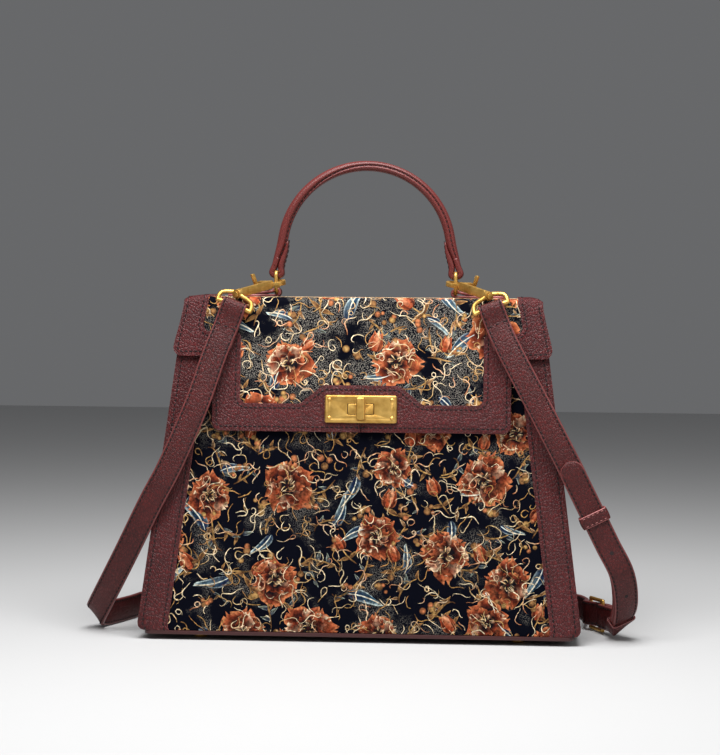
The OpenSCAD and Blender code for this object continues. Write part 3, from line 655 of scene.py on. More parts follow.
# %% Ribbons and curves
ROW_INSET = 1.9 * MM
ROW_DIP = 0.12 * MM
ROW_SLOPE = 1.2 * MM
FACE_LIFT = 0.05 * MM


def blend(a, b, c, d, t):
    """One step of a smooth curve between the two middle values."""
    return 0.5 * (2 * b + (c - a) * t + (2 * a - 5 * b + 4 * c - d) * t * t
                  + (3 * b - a - 3 * c + d) * t * t * t)


def curve_through(values, steps):
    """A smooth curve through values, which may be numbers or vectors."""
    last = len(values) - 1
    result = []
    for i in range(last):
        before = values[i - 1] if i else 2 * values[0] - values[1]
        after = values[i + 2] if i + 2 <= last else 2 * values[last] - values[last - 1]
        for k in range(steps):
            result.append(blend(before, values[i], values[i + 1], after, k / steps))
    return result + [values[last]]


def frames_along(stations):
    """For each station its middle, run, across and out directions."""
    frames = []
    last = len(stations) - 1
    for i, (middle, across, *_) in enumerate(stations):
        run = (stations[min(i + 1, last)][0] - stations[max(i - 1, 0)][0]).normalized()
        side = (across - across.dot(run) * run).normalized()
        frames.append((middle, run, side, run.cross(side)))
    return frames


def band_section(width, wall, edge):
    """A strap's section: flat faces, rounded edges and a shallow line pressed by each stitch row."""
    a = width / 2
    b = wall / 2
    row = a - ROW_INSET
    top = [(a, 0), (a - 0.1 * edge, b - 0.6 * edge), (a - 0.4 * edge, b - 0.15 * edge), (a - edge, b),
           (row, b - ROW_DIP), (row - ROW_SLOPE, b + ROW_DIP), (0, b + ROW_DIP)]
    half = top + [(-x, y) for x, y in reversed(top[:-1])]
    return half + [(x, -y) for x, y in reversed(half[1:-1])]


def tube_faces(rings, sides):
    """Faces round a tube of rings, and then its two ends."""
    faces = []
    for i in range(rings - 1):
        for k in range(sides):
            n = (k + 1) % sides
            faces.append((i * sides + k, (i + 1) * sides + k, (i + 1) * sides + n, i * sides + n))
    last = (rings - 1) * sides
    return faces + [tuple(range(sides)), tuple(reversed(range(last, last + sides)))]


def ribbon(name, stations, width, edge, materials, tip=False):
    """Sweeps a strap's section along stations of middle, across direction and wall."""
    frames = frames_along(stations)
    lengths = [0.0]
    for one, two in zip(frames, frames[1:]):
        lengths.append(lengths[-1] + (two[0] - one[0]).length)
    points = []
    sides = 0
    for (middle, _, side, out), station, gone in zip(frames, stations, lengths):
        left = lengths[-1] - gone
        share = 1.0
        if tip and left < width / 2:
            share = max(0.12, math.sqrt(1 - (1 - 2 * left / width) ** 2))
        section = band_section(width, station[2], min(edge, 0.45 * station[2]))
        sides = len(section)
        points += [middle + x * share * side + y * out for x, y in section]
    piece = mesh_piece(name, points, tube_faces(len(frames), sides), *materials)
    for face in piece.data.polygons[:-2]:
        if min(face.index % (sides // 2), (-1 - face.index) % (sides // 2)) < 3:
            face.material_index = len(materials) - 1
    return piece


def path_length(points):
    """Length of a run of points."""
    return sum((b - a).length for a, b in zip(points, points[1:]))


stitch_rows = {}


def sew(body, points, outs, yarn="dark"):
    """Notes a row of stitches on a body, in dark or pale yarn, to be sewn at the end."""
    stitch_rows.setdefault((body, yarn), []).append((points, outs))


def sew_edges(body, stations, width, inset, faces):
    """Stitch rows along both edges of a ribbon, on its outer face, 1, or its inner one, -1."""
    frames = frames_along(stations)
    for edge in (-1, 1):
        for face in faces:
            points = [middle + edge * (width / 2 - inset) * side + face * (station[2] / 2 + FACE_LIFT) * out
                      for (middle, _, side, out), station in zip(frames, stations)]
            sew(body, points, [face * out for _, _, _, out in frames])


print("helpers are ready")

# %% [markdown]
# The shoulder strap comes first, because it lies free. It is two pieces of doubled leather, 18 mm
# wide. The long one leaves the left hook, hangs down the front corner, turns over at the floor and
# runs round behind the bag to the buckle. The short one joins the buckle to the right hook. Each end
# is thinned, folded round its bar and sewn down, so the ribbon's path goes round the bar as well.

# %% Strap routes
STRAP_WIDTH = 18 * MM
STRAP_WALL = 3 * MM
FOLD_WALL = 2.2 * MM
FOLD_ROOM = 0.15 * MM
FOLD_GAP = 0.2 * MM
FOLD_STEPS = 10
FOLD_SPREAD = 2.5 * MM
FOLD_FOOT = ((3 * MM, 0.86, 2.4 * MM), (6 * MM, 0.55, 2.6 * MM), (9 * MM, 0.25, 2.8 * MM))
LAYER_STEP = 3.3 * MM
STRAP_EDGE = 0.9 * MM
ROUTE_STEPS = 8

left_rows = [
    (-94, -47, 237, 0.93, -0.36), (-106, -53, 206, 0.93, -0.36), (-118, -58, 170, 0.92, -0.38),
    (-136, -62, 127, 0.92, -0.4), (-151, -62, 98, 0.92, -0.4), (-168, -56, 64, 0.9, -0.44),
    (-182, -46, 38, 0.85, -0.5), (-193, -33, 19, 0.75, -0.65), (-197, -24, 12, 0.65, -0.75),
    (-196, -15, 10, 0.4, -0.9), (-190, -3, 9.5, 0.1, -1), (-180, 24, 9.5, 0, -1),
]
back_rows = [
    (-172, 54, 9.5, 0, -1), (-160, 80, 9.5, 0, -1), (-130, 93, 9.5, 0, -1), (-70, 96, 9.5, 0, -1),
    (0, 96, 9.5, 0, -1), (70, 96, 9.5, 0, -1), (130, 91, 9.5, 0, -1), (159, 77, 9.5, 0, -1),
    (168, 55, 9.5, 0, -1), (167, 34, 11, 0, -1),
]
right_rows = [
    (184, -15, 13, -0.4, -0.9), (188, -30, 15, -0.75, -0.65), (191, -45, 30, -0.85, -0.5),
    (188, -58, 52, -0.9, -0.43), (178, -59, 72, -0.9, -0.43), (168, -60, 92, -0.9, -0.43),
    (158, -61, 112, -0.9, -0.43), (148, -62, 132, -0.9, -0.43), (127, -59, 172, -0.92, -0.39),
    (105, -53, 213, -0.93, -0.36), (94, -47, 237, -0.93, -0.36),
]
TAIL_END = 7
buckle_front = (170, 16, 13, 0, -1)
buckle_heel = (178, -2, 13, 0, -1)
BAR_STEP = -3.2 * MM
BUCKLE_WIRE = 1.4 * MM
EYE_WIRE = 1.6 * MM
eye_bar = Vector((93, -47, 241)) * MM


def stations_of(rows, offsets):
    """Smooth stations through rows, each off the route by its own offset."""
    middles = curve_through([Vector(row[:3]) * MM for row in rows], ROUTE_STEPS)
    acrosses = curve_through([Vector((row[3], 0, row[4])) for row in rows], ROUTE_STEPS)
    lifts = curve_through(offsets, ROUTE_STEPS)
    frames = frames_along(list(zip(middles, acrosses)))
    return [(middle + lift * out, across, STRAP_WALL)
            for (middle, _, _, out), across, lift in zip(frames, acrosses, lifts)]


def fold_stations(bar, toward, across, bar_radius, back_length):
    """The thinned end of a strap: up behind its bar, over it and down in front."""
    run = toward.normalized()
    side = (across - across.dot(run) * run).normalized()
    out = run.cross(side)
    reach = bar_radius + FOLD_ROOM + FOLD_WALL / 2
    behind = -(STRAP_WALL / 2 + FOLD_WALL / 2 + FOLD_GAP)
    places = [(back_length * k / 5, behind, FOLD_WALL) for k in range(5, 0, -1)]
    places.append((FOLD_SPREAD, (behind - reach) / 2, FOLD_WALL))
    for k in range(FOLD_STEPS + 1):
        turn = math.pi * k / FOLD_STEPS
        places.append((-reach * math.sin(turn), -reach * math.cos(turn), FOLD_WALL))
    places += [(down, share * reach, wall) for down, share, wall in FOLD_FOOT]
    return [(bar + u * run + v * out, across, wall) for u, v, wall in places]


def clear_of(stations, bar, distance):
    """The stations that are farther than a distance from a bar."""
    return [station for station in stations if (station[0] - bar).length > distance]


FOLD_BACK = 30 * MM
HEEL_BACK = 22 * MM
FOLD_FRONT = 13 * MM
left_bar = Vector((-eye_bar.x, eye_bar.y, eye_bar.z))
long_rows = left_rows + back_rows + [buckle_front, buckle_heel] + right_rows[:TAIL_END + 1]
long_offsets = [0.0] * (len(left_rows) + len(back_rows)) + [BAR_STEP] + [LAYER_STEP] * (TAIL_END + 2)
long_route = clear_of(stations_of(long_rows, long_offsets), left_bar, FOLD_FRONT)
left_across = Vector((left_rows[0][3], 0, left_rows[0][4]))
left_fold = fold_stations(left_bar, long_route[0][0] - left_bar, left_across, EYE_WIRE, FOLD_BACK)
long_stations = left_fold + long_route

heel = Vector(buckle_heel[:3]) * MM
short_route = clear_of(stations_of(right_rows, [0.0] * len(right_rows)), eye_bar, FOLD_FRONT)
short_route = clear_of(short_route, heel, FOLD_FRONT)
heel_fold = fold_stations(heel, short_route[0][0] - heel, Vector((0, 0, -1)), BUCKLE_WIRE, HEEL_BACK)
top_across = Vector((right_rows[-1][3], 0, right_rows[-1][4]))
top_fold = fold_stations(eye_bar, short_route[-1][0] - eye_bar, -top_across, EYE_WIRE, FOLD_BACK)
short_stations = heel_fold + short_route + [(m, top_across, w) for m, _, w in reversed(top_fold)]
print("strap stations", len(long_stations), len(short_stations))

# %% Strap pieces
strap_looks = (strap_leather, strap_edge)
strap_long = ribbon("long_strap", long_stations, STRAP_WIDTH, STRAP_EDGE, strap_looks, tip=True)
strap_short = ribbon("short_strap", short_stations, STRAP_WIDTH, STRAP_EDGE, strap_looks)
TIP_STATIONS = 4
MARK_LIFT = STRAP_WALL / 2 + 0.16 * MM
HOLE_RADIUS = 1.4 * MM
HOLE_SIDES = 16
HOLE_PLACES = [0.072, 0.1045, 0.137, 0.1695]


def sew_across(body, spot, lift, inset, yarn):
    """One row of stitches across a ribbon, on its outer face."""
    middle, _, side, out = spot
    reach = STRAP_WIDTH / 2 - inset
    sew(body, [middle - reach * side + lift * out, middle + reach * side + lift * out], [out, out], yarn)


for stations in (long_stations[:-TIP_STATIONS], short_stations):
    sew_edges("bag", stations, STRAP_WIDTH, ROW_INSET, (1, -1))
for spot in (frames_along(long_route)[0], frames_along(short_route)[0], frames_along(short_route)[-1]):
    sew_across("bag", spot, MARK_LIFT, 2 * ROW_INSET, "dark")


def punched(name, route_frames, distances, lift):
    """Dark discs of painted shade where holes are punched through a strap, on its outer face."""
    points = []
    faces = []
    for distance in distances:
        gone = 0.0
        spot = 0
        while gone < distance:
            gone += (route_frames[spot + 1][0] - route_frames[spot][0]).length
            spot += 1
        middle, run, side, out = route_frames[spot]
        first = len(points)
        for k in range(HOLE_SIDES):
            turn = 2 * math.pi * k / HOLE_SIDES
            points.append(middle + HOLE_RADIUS * (math.cos(turn) * run + math.sin(turn) * side) + lift * out)
        faces.append(tuple(range(first, first + HOLE_SIDES)))
    return mesh_piece(name, points, faces, hole_shade)


tail_frames = [(m, -r, s, o) for m, r, s, o in reversed(frames_along(long_stations))]
strap_hole_shades = punched("strap_hole_shades", tail_frames, HOLE_PLACES, MARK_LIFT)
settle(strap_long, "bag", "leather", "strap_long")
settle(strap_short, "bag", "leather", "strap_short")
settle(strap_hole_shades, "bag", "leather")
print("straps lie at", long_stations[0][0], short_stations[-1][0])

# %% [markdown]
# The body is a shell sewn from four panels and a base. The front and back are coated cloth on a stiff
# backing, so they stay nearly flat and only crown a little below the flap. The gussets are soft
# leather that falls in along the middle of each side, more towards the top, where nothing holds it.

# %% Panels, gussets and base
CROWN = 1.1 * MM
GUSSET_FALL = 1.9 * MM
GRID = 12 * MM
GUSSET_GRID = 8 * MM
CLOTH_WALL = 2.9 * MM
GUSSET_WALL = 2.4 * MM
GUSSET_EDGE = 0.4 * MM
GUSSET_ROW = 5 * MM


def crown(x, up):
    """How far a panel swells, which is nothing at its edges and most below the middle."""
    across = 1 - (x / half_width(up)) ** 2
    rise = math.sin(math.pi * min(1, max(0, up / slope)) ** 0.7)
    return CROWN * max(0, across) * rise


def crowned_front(x, up, out):
    """A place on the swelling front."""
    return front_at(x, up, out + crown(x, up))


def crowned_back(x, up, out):
    """A place on the swelling back."""
    return back_at(x, up, out + crown(x, up))


def panel(name, at):
    """One cloth panel of the body."""
    outline = [(-base_half, 0), (base_half, 0), (TOP_HALF, slope), (-TOP_HALF, slope)]
    return plate(name, outline, at, -CLOTH_WALL, 0, stepped(-base_half, base_half, GRID),
                 stepped(0, slope, GRID) + TUCK_CUTS, (panel_ground_shaded, wine_leather), 0)


def half_depth(up):
    """Half a side's width at a height up the slope, between the panels."""
    return base_deep + (top_deep - base_deep) * up / slope - PANEL_WALL


def gusset_at(side):
    """A mapping onto one side: across the depth, up, and out of the face."""
    def at(y, up, out):
        share = up / slope
        middle = max(0, 1 - (y / half_depth(up)) ** 2)
        fall = GUSSET_FALL * middle * math.sin(math.pi * min(1, share * 0.62)) ** 0.8
        x = half_width(up) + out - fall - tuck(up)
        return Vector((side * x, side * y, floor_z + up * math.cos(lean)))
    return at


def gusset(name, side):
    """One leather side, which stops at the panels."""
    low = half_depth(0)
    high = half_depth(slope)
    outline = [(-low, 0), (low, 0), (high, slope), (-high, slope)]
    return plate(name, outline, gusset_at(side), -GUSSET_WALL, 0, stepped(-low, low, GUSSET_GRID),
                 stepped(0, slope, GRID) + TUCK_CUTS, (wine_leather,), GUSSET_EDGE)


front_panel = settle(panel("front_cloth", crowned_front), "bag", "print", "front_panel")
back_panel = settle(panel("back_cloth", crowned_back), "bag", "print", "back_panel")
right_gusset = settle(gusset("right_side", 1), "bag", "leather", "right_gusset")
left_gusset = settle(gusset("left_side", -1), "bag", "leather", "left_gusset")
for side in (1, -1):
    at = gusset_at(side)
    for edge in (1, -1):
        spots = [at(edge * (half_depth(up) - GUSSET_ROW), up, FACE_LIFT)
                 for up in stepped(0, slope, GRID / 2)]
        sew("bag", spots, [Vector((side, 0, 0))] * len(spots))


# %% [markdown]
# Rigid pieces keep the CAD's own shape. Their copies only get the small rounded edges that casting
# and tumbling give to brass, which is what catches the light. The base leather is copied too and drawn
# in at its ends, where the lower corners tuck in. The two keepers are built as loops that hug the strap.


# %% Brass, base leather and keepers
FLAT_ANGLE = math.radians(0.5)
BRASS_EDGE = 0.3 * MM
BASE_EDGE = 0.8 * MM


def polished(node, material, slot, rounding):
    """A copy of a CAD node with rounded edges, on the node's own body."""
    source = nodes[node]
    mesh = source.data.copy()
    mesh.name = node + "_finish"
    shape = bmesh.new()
    shape.from_mesh(mesh)
    bmesh.ops.remove_doubles(shape, verts=shape.verts[:], dist=1e-6)
    bmesh.ops.dissolve_limit(shape, angle_limit=FLAT_ANGLE, verts=shape.verts[:], edges=shape.edges[:])
    bmesh.ops.recalc_face_normals(shape, faces=shape.faces[:])
    shape.to_mesh(mesh)
    shape.free()
    mesh.materials.clear()
    mesh.materials.append(material)
    piece = bevel(add_object(node + "_finish", mesh), rounding)
    return settle(piece, source["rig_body"], slot, node)


KEEPER_LENGTH = 9 * MM
KEEPER_WALL = 1.7 * MM
KEEPER_ROOM = 0.3 * MM
KEEPER_CROWN = 0.6 * MM
KEEPER_EDGE = 0.6 * MM
KEEPER_OUTER = 2 * MM
KEEPER_INNER = 0.6 * MM
KEEPER_SUNK = 0.2 * MM
KEEPER_STEPS = 6


def keeper(node):
    """A loop of leather that hugs both layers of the strap where the CAD has its keeper."""
    source = nodes[node]
    spots = [source.matrix_world @ v.co for v in source.data.vertices]
    spot = sum(spots, Vector()) / len(spots)
    frames = frames_along(short_route)
    middle, run, _, _ = min(frames, key=lambda frame: (frame[0] - spot).length)
    middle = middle + (spot - middle).dot(run) * run
    wide = STRAP_WIDTH / 2 + KEEPER_ROOM
    deep = (LAYER_STEP + STRAP_WALL) / 2 + KEEPER_ROOM
    ring = []
    for more, radius in ((KEEPER_WALL, KEEPER_OUTER), (0, KEEPER_INNER)):
        a = wide + more
        b = deep + more
        ring += rounded([(a, b, radius), (-a, b, radius), (-a, -b, radius), (a, -b, radius)], 4)
    count = len(ring) // 2
    points = []
    for k in range(KEEPER_STEPS + 1):
        low = KEEPER_CROWN * (1 - math.sin(math.pi * k / KEEPER_STEPS))
        place = middle + KEEPER_LENGTH * (k / KEEPER_STEPS - 0.5) * run
        near = min(frames, key=lambda frame: (frame[0] - place).length)
        centre = near[0] + (place - near[0]).dot(near[1]) * near[1] + LAYER_STEP / 2 * near[3]
        for i, p in enumerate(ring):
            shrunk = p - low * p.normalized() if i < count else p
            points.append(centre + shrunk.x * near[2] + shrunk.y * near[3])
        if k in (1, KEEPER_STEPS - 1):
            lift = deep + KEEPER_WALL - KEEPER_SUNK
            sew_across(source["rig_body"], (centre, *near[1:]), lift, ROW_INSET, "pale")
    faces = []
    for i in range(KEEPER_STEPS):
        for k in range(count):
            n = (k + 1) % count
            low = 2 * count * i
            high = low + 2 * count
            faces.append((low + k, low + n, high + n, high + k))
            faces.append((low + count + n, low + count + k, high + count + k, high + count + n))
    for end in (0, 2 * count * KEEPER_STEPS):
        for k in range(count):
            n = (k + 1) % count
            faces.append((end + k, end + count + k, end + count + n, end + n))
    piece = faced_out(mesh_piece(node + "_loop", points, faces, strap_leather, edge_paint_and_sheen))
    bevel(piece, KEEPER_EDGE, 60, finish=1)
    return settle(piece, source["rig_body"], "leather", node)


base_leather = polished("base_panel", base_paint_and_shade, "base_leather", BASE_EDGE)
for point in base_leather.data.vertices:
    point.co.x *= 1 - TUCK / base_half
for node in ("feet", "lock_plate", "lock_backing", "lock_rivets", "lock_base", "turn_knob", "left_ring",
             "right_ring", "left_hook_eye", "right_hook_eye", "left_hook_body", "right_hook_body",
             "left_hook_gate", "right_hook_gate", "buckle_frame", "buckle_prong"):
    polished(node, antique_brass, "brass", BRASS_EDGE)
for node in ("upper_keeper", "lower_keeper"):
    keeper(node)
for node, material in (("lining", lining_cloth), ("base_board", board_grey)):
    nodes[node].data.materials.clear()
    nodes[node].data.materials.append(material)
print("brass is polished")


# %% Strap lengths
long_path = [station[0] for station in long_stations]
short_path = [station[0] for station in short_stations]
long_length = path_length(long_path)
short_length = path_length(short_path)
tuple(long_path[0])
[tuple(p) for p in long_path]
tuple(short_path[-1])
[tuple(p) for p in short_path]
print("long strap", round(long_length, 3), "short strap", round(short_length, 3))


# %% [markdown]
# The flap is one printed piece that comes up the back, over the top and down the front in a tongue.
# A leather border is sewn round its edge in two halves that meet in a seam above and below the lock.
# Both are drawn flat, as the maker cuts them, and then laid over the fold.

# %% Flap outlines
FLAP_GRID = 9 * MM
BAND_EDGE = 1.0 * MM
SEAM = 0.25 * MM
back_along = flap_length - wing_along
fold_cuts = [fold_length * k / 6 for k in range(7)]
fold_cuts += [flap_length - cut for cut in fold_cuts]
flap_cuts = list(fold_cuts)
for low, high in ((fold_length, flap_length - fold_length), (tongue_along, 0), (flap_length, back_along)):
    flap_cuts += stepped(low, high, FLAP_GRID)
flap_across = stepped(-wing_low_half, wing_low_half, GRID)
raise_along = bar_along + RAISE_HEIGHT


def flap_half():
    """The right edge of the flap, from the tongue's middle to the middle of the back."""
    return [
        (TONGUE_HALF, tongue_along, OUTER_CORNER), (TONGUE_HALF, wing_along, INNER_CORNER / 2),
        (wing_low_half, wing_along, OUTER_CORNER), (wing_top_half, 0, 0), (wing_top_half, flap_length, 0),
        (wing_low_half, back_along, OUTER_CORNER),
    ]


def window_half():
    """The border's inner edge on the right, from the middle of the back to the raised middle in front."""
    side = wing_top_half - WING_BAND
    low_side = wing_half(shoulder_along) - WING_BAND
    return [
        (low_side, back_along - WING_BAND, INNER_CORNER), (side, flap_length, 0), (side, 0, 0),
        (low_side, shoulder_along, INNER_CORNER), (TONGUE_HALF - TONGUE_BAND, shoulder_along, INNER_CORNER),
        (TONGUE_HALF - TONGUE_BAND, bar_along, INNER_CORNER), (RAISE_FOOT, bar_along, INNER_CORNER),
        (RAISE_TOP, raise_along, INNER_CORNER),
    ]


def mirrored(rows):
    """Rows on the other side, in the order that goes on round the outline."""
    return [(-a, *rest) for a, *rest in reversed(rows)]


cloth_outline = rounded(flap_half() + mirrored(flap_half()))
right_border = rounded([(SEAM, tongue_along, 0)] + flap_half()
                       + [(SEAM, back_along, 0), (SEAM, back_along - WING_BAND, 0)]
                       + window_half() + [(SEAM, raise_along, 0)])
left_border = [Vector((-p[0], p[1])) for p in reversed(right_border)]
flap_cloth = plate("flap_cloth", cloth_outline, flap_at, 0, FLAP_WALL, flap_across, flap_cuts,
                   (flap_ground_lit, wine_leather), 0, lined=True)
settle(flap_cloth, "bag", "print", "flap_panel")
cloth_sides = zip(cloth_outline, cloth_outline[1:] + cloth_outline[:1])
cloth_area = sum(a[0] * b[1] - b[0] * a[1] for a, b in cloth_sides) / 2
for name, outline, node in (("right_border", right_border, "right_flap_border"),
                            ("left_border", left_border, "left_flap_border")):
    border = plate(name, outline, flap_at, FLAP_WALL, FLAP_WALL + BAND_WALL, flap_across, flap_cuts,
                   (wine_leather, edge_paint_and_sheen), BAND_EDGE)
    settle(border, "bag", "leather", node)
print("flap cloth area", round(abs(cloth_area), 4))


# %% Stitching on the flap and the strips
def inset(outline, distance):
    """An outline moved in by a distance, for a closed run of points that turns left."""
    result = []
    count = len(outline)
    for i in range(count):
        before = Vector(outline[i - 1])
        after = Vector(outline[(i + 1) % count])
        along = (after - before).normalized()
        result.append(Vector(outline[i]) + distance * Vector((-along.y, along.x)))
    return result


def dense(points, step):
    """A run of flat points with more between them."""
    result = []
    for a, b in zip(points, points[1:]):
        count = max(1, math.ceil((b - a).length / step))
        result += [a + (b - a) * k / count for k in range(count)]
    return result + [points[-1]]


def sew_flat(body, points, at, lift):
    """Sews a row that is drawn on the flat pattern."""
    run = dense(points, SEW_STEP)
    spots = [at(p[0], p[1], lift) for p in run]
    outs = [(at(p[0], p[1], lift + MM) - spot).normalized() for p, spot in zip(run, spots)]
    sew(body, spots, outs)


SEW_STEP = 3 * MM
BORDER_LIFT = FLAP_WALL + BAND_WALL + FACE_LIFT
EDGE_ROW = 3.2 * MM
SEAM_ROW = 2.4 * MM
window_outline = rounded(window_half() + mirrored(window_half()))
for outline in (cloth_outline, window_outline):
    row = inset(outline, EDGE_ROW)
    sew_flat("bag", row + row[:1], flap_at, BORDER_LIFT)
lock_low, lock_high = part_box("lock_plate")
for low, high in ((tongue_along + EDGE_ROW, along_of(lock_low[2])),
                  (along_of(lock_high[2]), raise_along - EDGE_ROW),
                  (back_along - WING_BAND + EDGE_ROW, back_along - EDGE_ROW)):
    for x in (-SEAM_ROW, SEAM_ROW):
        sew_flat("bag", [Vector((x, low)), Vector((x, high))], flap_at, BORDER_LIFT)

STRIP_DROP = 2.5 * MM
STRIP_SWELL = 0.5 * MM
STRIP_ROWS = (4 * MM, STRIP_WIDTH - 3 * MM)
strip_top = slope - STRIP_DROP


def strip(name, side, at, node):
    """One corner strip with its two stitch rows."""
    low = half_width(0)
    high = half_width(strip_top)
    outline = [(side * (low - STRIP_WIDTH), 0), (side * low, 0), (side * high, strip_top),
               (side * (high - STRIP_WIDTH), strip_top)]
    if side < 0:
        outline.reverse()

    def swollen(x, up, out):
        """A place on the strip, which swells between its stitch rows."""
        v = 2 * (half_width(up) - abs(x)) / STRIP_WIDTH - 1
        return at(x, up, out + STRIP_SWELL * (1 - v * v) * out / STRIP_WALL)

    cuts = [side * (low - share * GRID) for share in range(1, 6)]
    piece = plate(name, outline, swollen, 0, STRIP_WALL, cuts, stepped(0, strip_top, GRID) + TUCK_CUTS,
                  (wine_leather, edge_paint_and_sheen), BAND_EDGE)
    for row in STRIP_ROWS:
        ends = [Vector((side * (low - row), MM)), Vector((side * (high - row), strip_top - MM))]
        sew_flat("bag", ends, swollen, STRIP_WALL + FACE_LIFT)
    settle(piece, "bag", "leather", node)


strip("right_front_band", 1, front_at, "right_front_strip")
strip("left_front_band", -1, front_at, "left_front_strip")
strip("right_back_band", -1, back_at, "right_back_strip")
strip("left_back_band", 1, back_at, "left_back_strip")
print("strips and rows of stitches are drawn")

# %% [markdown]
# The top handle is leather rolled round a cord and sewn along a groove that wanders round it. Each end
# is folded round a brass ring, and the thinned end returns up the inside of the leg. Two short tabs
# hold the rings on the flap: each runs under its ring, round the bar and back on top of itself.

# %% Handle
RING_X = 66.5 * MM
RING_WIRE = 1.4 * MM
LEG_ANGLE = math.radians(10)
ROLL_RADIUS = 3.8 * MM
ROLL_OFFSET = 1.2 * MM
GROOVE_DEPTH = 1.3 * MM
GROOVE_WIDTH = 0.7 * MM
GROOVE_RIGHT = 0.6 * MM
GROOVE_LEFT = -2.6 * MM
GROOVE_TURNS = 0.45
GROOVE_TAKES = 0.3
HANDLE_RISE = 79.2 * MM
RETURN_LENGTH = 24 * MM
LEG_START = 4 * MM
LEG_SHIFT = 2.4 * MM
LEG_SHARE = 0.58
LEG_STEPS = 14
BOW_STEPS = 48
ROLL_STEPS = 56
THREAD_LIFT = 0.15 * MM
TAB_WIDTH = 10 * MM
ring_low, ring_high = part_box("right_ring")
low_bar = ring_low[2] + RING_WIRE
high_bar = ring_high[2] - RING_WIRE
bend_share = 1 - math.sin(LEG_ANGLE)
leg_length = (HANDLE_RISE - bend_share * RING_X / math.cos(LEG_ANGLE)) \
    / (math.cos(LEG_ANGLE) - bend_share * math.tan(LEG_ANGLE))
bow_radius = (RING_X - leg_length * math.sin(LEG_ANGLE)) / math.cos(LEG_ANGLE)
bow_z = high_bar + HANDLE_RISE - bow_radius


def eased(t):
    """A share from nothing to one that starts and ends slowly."""
    t = min(1, max(0, t))
    return t * t * (3 - 2 * t)


def handle_line():
    """The handle's middle line from right to left, with outward directions and shares of the full width."""
    line = []
    for k in range(LEG_STEPS):
        up = LEG_START + (leg_length - LEG_START) * k / LEG_STEPS
        full = eased((up - LEG_START) / (RETURN_LENGTH - LEG_START))
        away = Vector((math.cos(LEG_ANGLE), 0, math.sin(LEG_ANGLE)))
        place = Vector((RING_X - up * math.sin(LEG_ANGLE), 0, high_bar + up * math.cos(LEG_ANGLE)))
        line.append((place + LEG_SHIFT * (1 - full) * away, away, LEG_SHARE + (1 - LEG_SHARE) * full))
    bow = []
    for k in range(BOW_STEPS + 1):
        turn = LEG_ANGLE + (math.pi - 2 * LEG_ANGLE) * k / BOW_STEPS
        away = Vector((math.cos(turn), 0, math.sin(turn)))
        bow.append((Vector((0, 0, bow_z)) + bow_radius * away, away, 1.0))
    other = [(Vector((-p.x, 0, p.z)), Vector((-a.x, 0, a.z)), share) for p, a, share in reversed(line)]
    return line + bow + other


def groove_place(way):
    """How far out the groove lies, by the share of the way from right to left, where it ends up inside."""
    return GROOVE_RIGHT + (GROOVE_LEFT - GROOVE_RIGHT) * eased((way - GROOVE_TURNS) / GROOVE_TAKES)


def roll_section(groove_at):
    """The rolled section, away from the bow and across the depth, with a groove in front and behind."""
    section = []
    for k in range(ROLL_STEPS):
        turn = 2 * math.pi * k / ROLL_STEPS
        away = ROLL_RADIUS * math.cos(turn)
        deep = math.sin(turn) * ROLL_RADIUS
        deep += math.copysign(ROLL_OFFSET, deep) * min(1, abs(math.sin(turn)) * 3)
        groove = GROOVE_DEPTH * math.exp(-((away - groove_at) / GROOVE_WIDTH) ** 2)
        section.append((away, deep - math.copysign(groove, deep)))
    return section


def sweep(name, line, sections, materials):
    """A closed tube along a line of middles, outward directions and widths, with depth along Y."""
    points = []
    depth = Vector((0, 1, 0))
    for (middle, away, share), section in zip(line, sections):
        points += [middle + a * share * away + d * depth for a, d in section]
    faces = tube_faces(len(line), len(sections[0]))
    # The walls are reversed to face outwards, and faced_out turns the ends to match.
    faces[:-2] = [face[::-1] for face in faces[:-2]]
    return faced_out(mesh_piece(name, points, faces, *materials))


handle_run = handle_line()
grooves = [groove_place(k / (len(handle_run) - 1)) for k in range(len(handle_run))]
handle_roll = sweep("handle_roll", handle_run, [roll_section(g) for g in grooves], (handle_leather,))
settle(handle_roll, "handle", "leather", "handle")
groove_lift = ROLL_OFFSET - GROOVE_DEPTH + THREAD_LIFT
for face in (-1, 1):
    row = []
    for (middle, away, share), groove in list(zip(handle_run, grooves))[2:-2]:
        deep = math.sqrt(ROLL_RADIUS ** 2 - groove ** 2) + groove_lift
        row.append(middle + groove * share * away + Vector((0, face * deep, 0)))
    sew("handle", row, [Vector((0, face, 0))] * len(row))


# %% Handle ends and tabs
BAR_ROOM = 0.1 * MM
TAB_WALL = 2.1 * MM
TAB_LENGTH = 36 * MM
TAB_ROW = 1.6 * MM
TAB_EDGE = 0.8 * MM
END_EDGE = 2 * MM
END_SEWN = 12
TAB_SEWN = 10
SIDES = ((1, "right"), (-1, "left"))


def bar_ribbon(name, places, body, side, turned, origin, edge, facing, materials):
    """A band round a ring's bar: rows of up and outward distances and wall, mirrored for the left."""
    up = Vector((-side * math.sin(turned), 0, math.cos(turned)))
    away = Vector((side * math.cos(turned), 0, math.sin(turned)))
    base = Vector((side * origin[0], 0, origin[1]))
    line = curve_through([Vector(p) for p in places], 3)
    stations = [(base + p.x * up + p.y * away, Vector((0, side * facing, 0)), p.z) for p in line]
    return settle(ribbon(name, stations, TAB_WIDTH, edge, materials), body, "leather"), stations


def arc_rows(first, last, steps, thin, thick):
    """Rows round a bar, by the angle from straight up, turning outwards, thinnest below and above it."""
    rows = []
    for k in range(steps + 1):
        turn = math.radians(first + (last - first) * k / steps)
        wall = thin + (thick - thin) * abs(math.sin(turn))
        radius = RING_WIRE + BAR_ROOM + wall / 2
        rows.append((radius * math.cos(turn), radius * math.sin(turn), wall))
    return rows


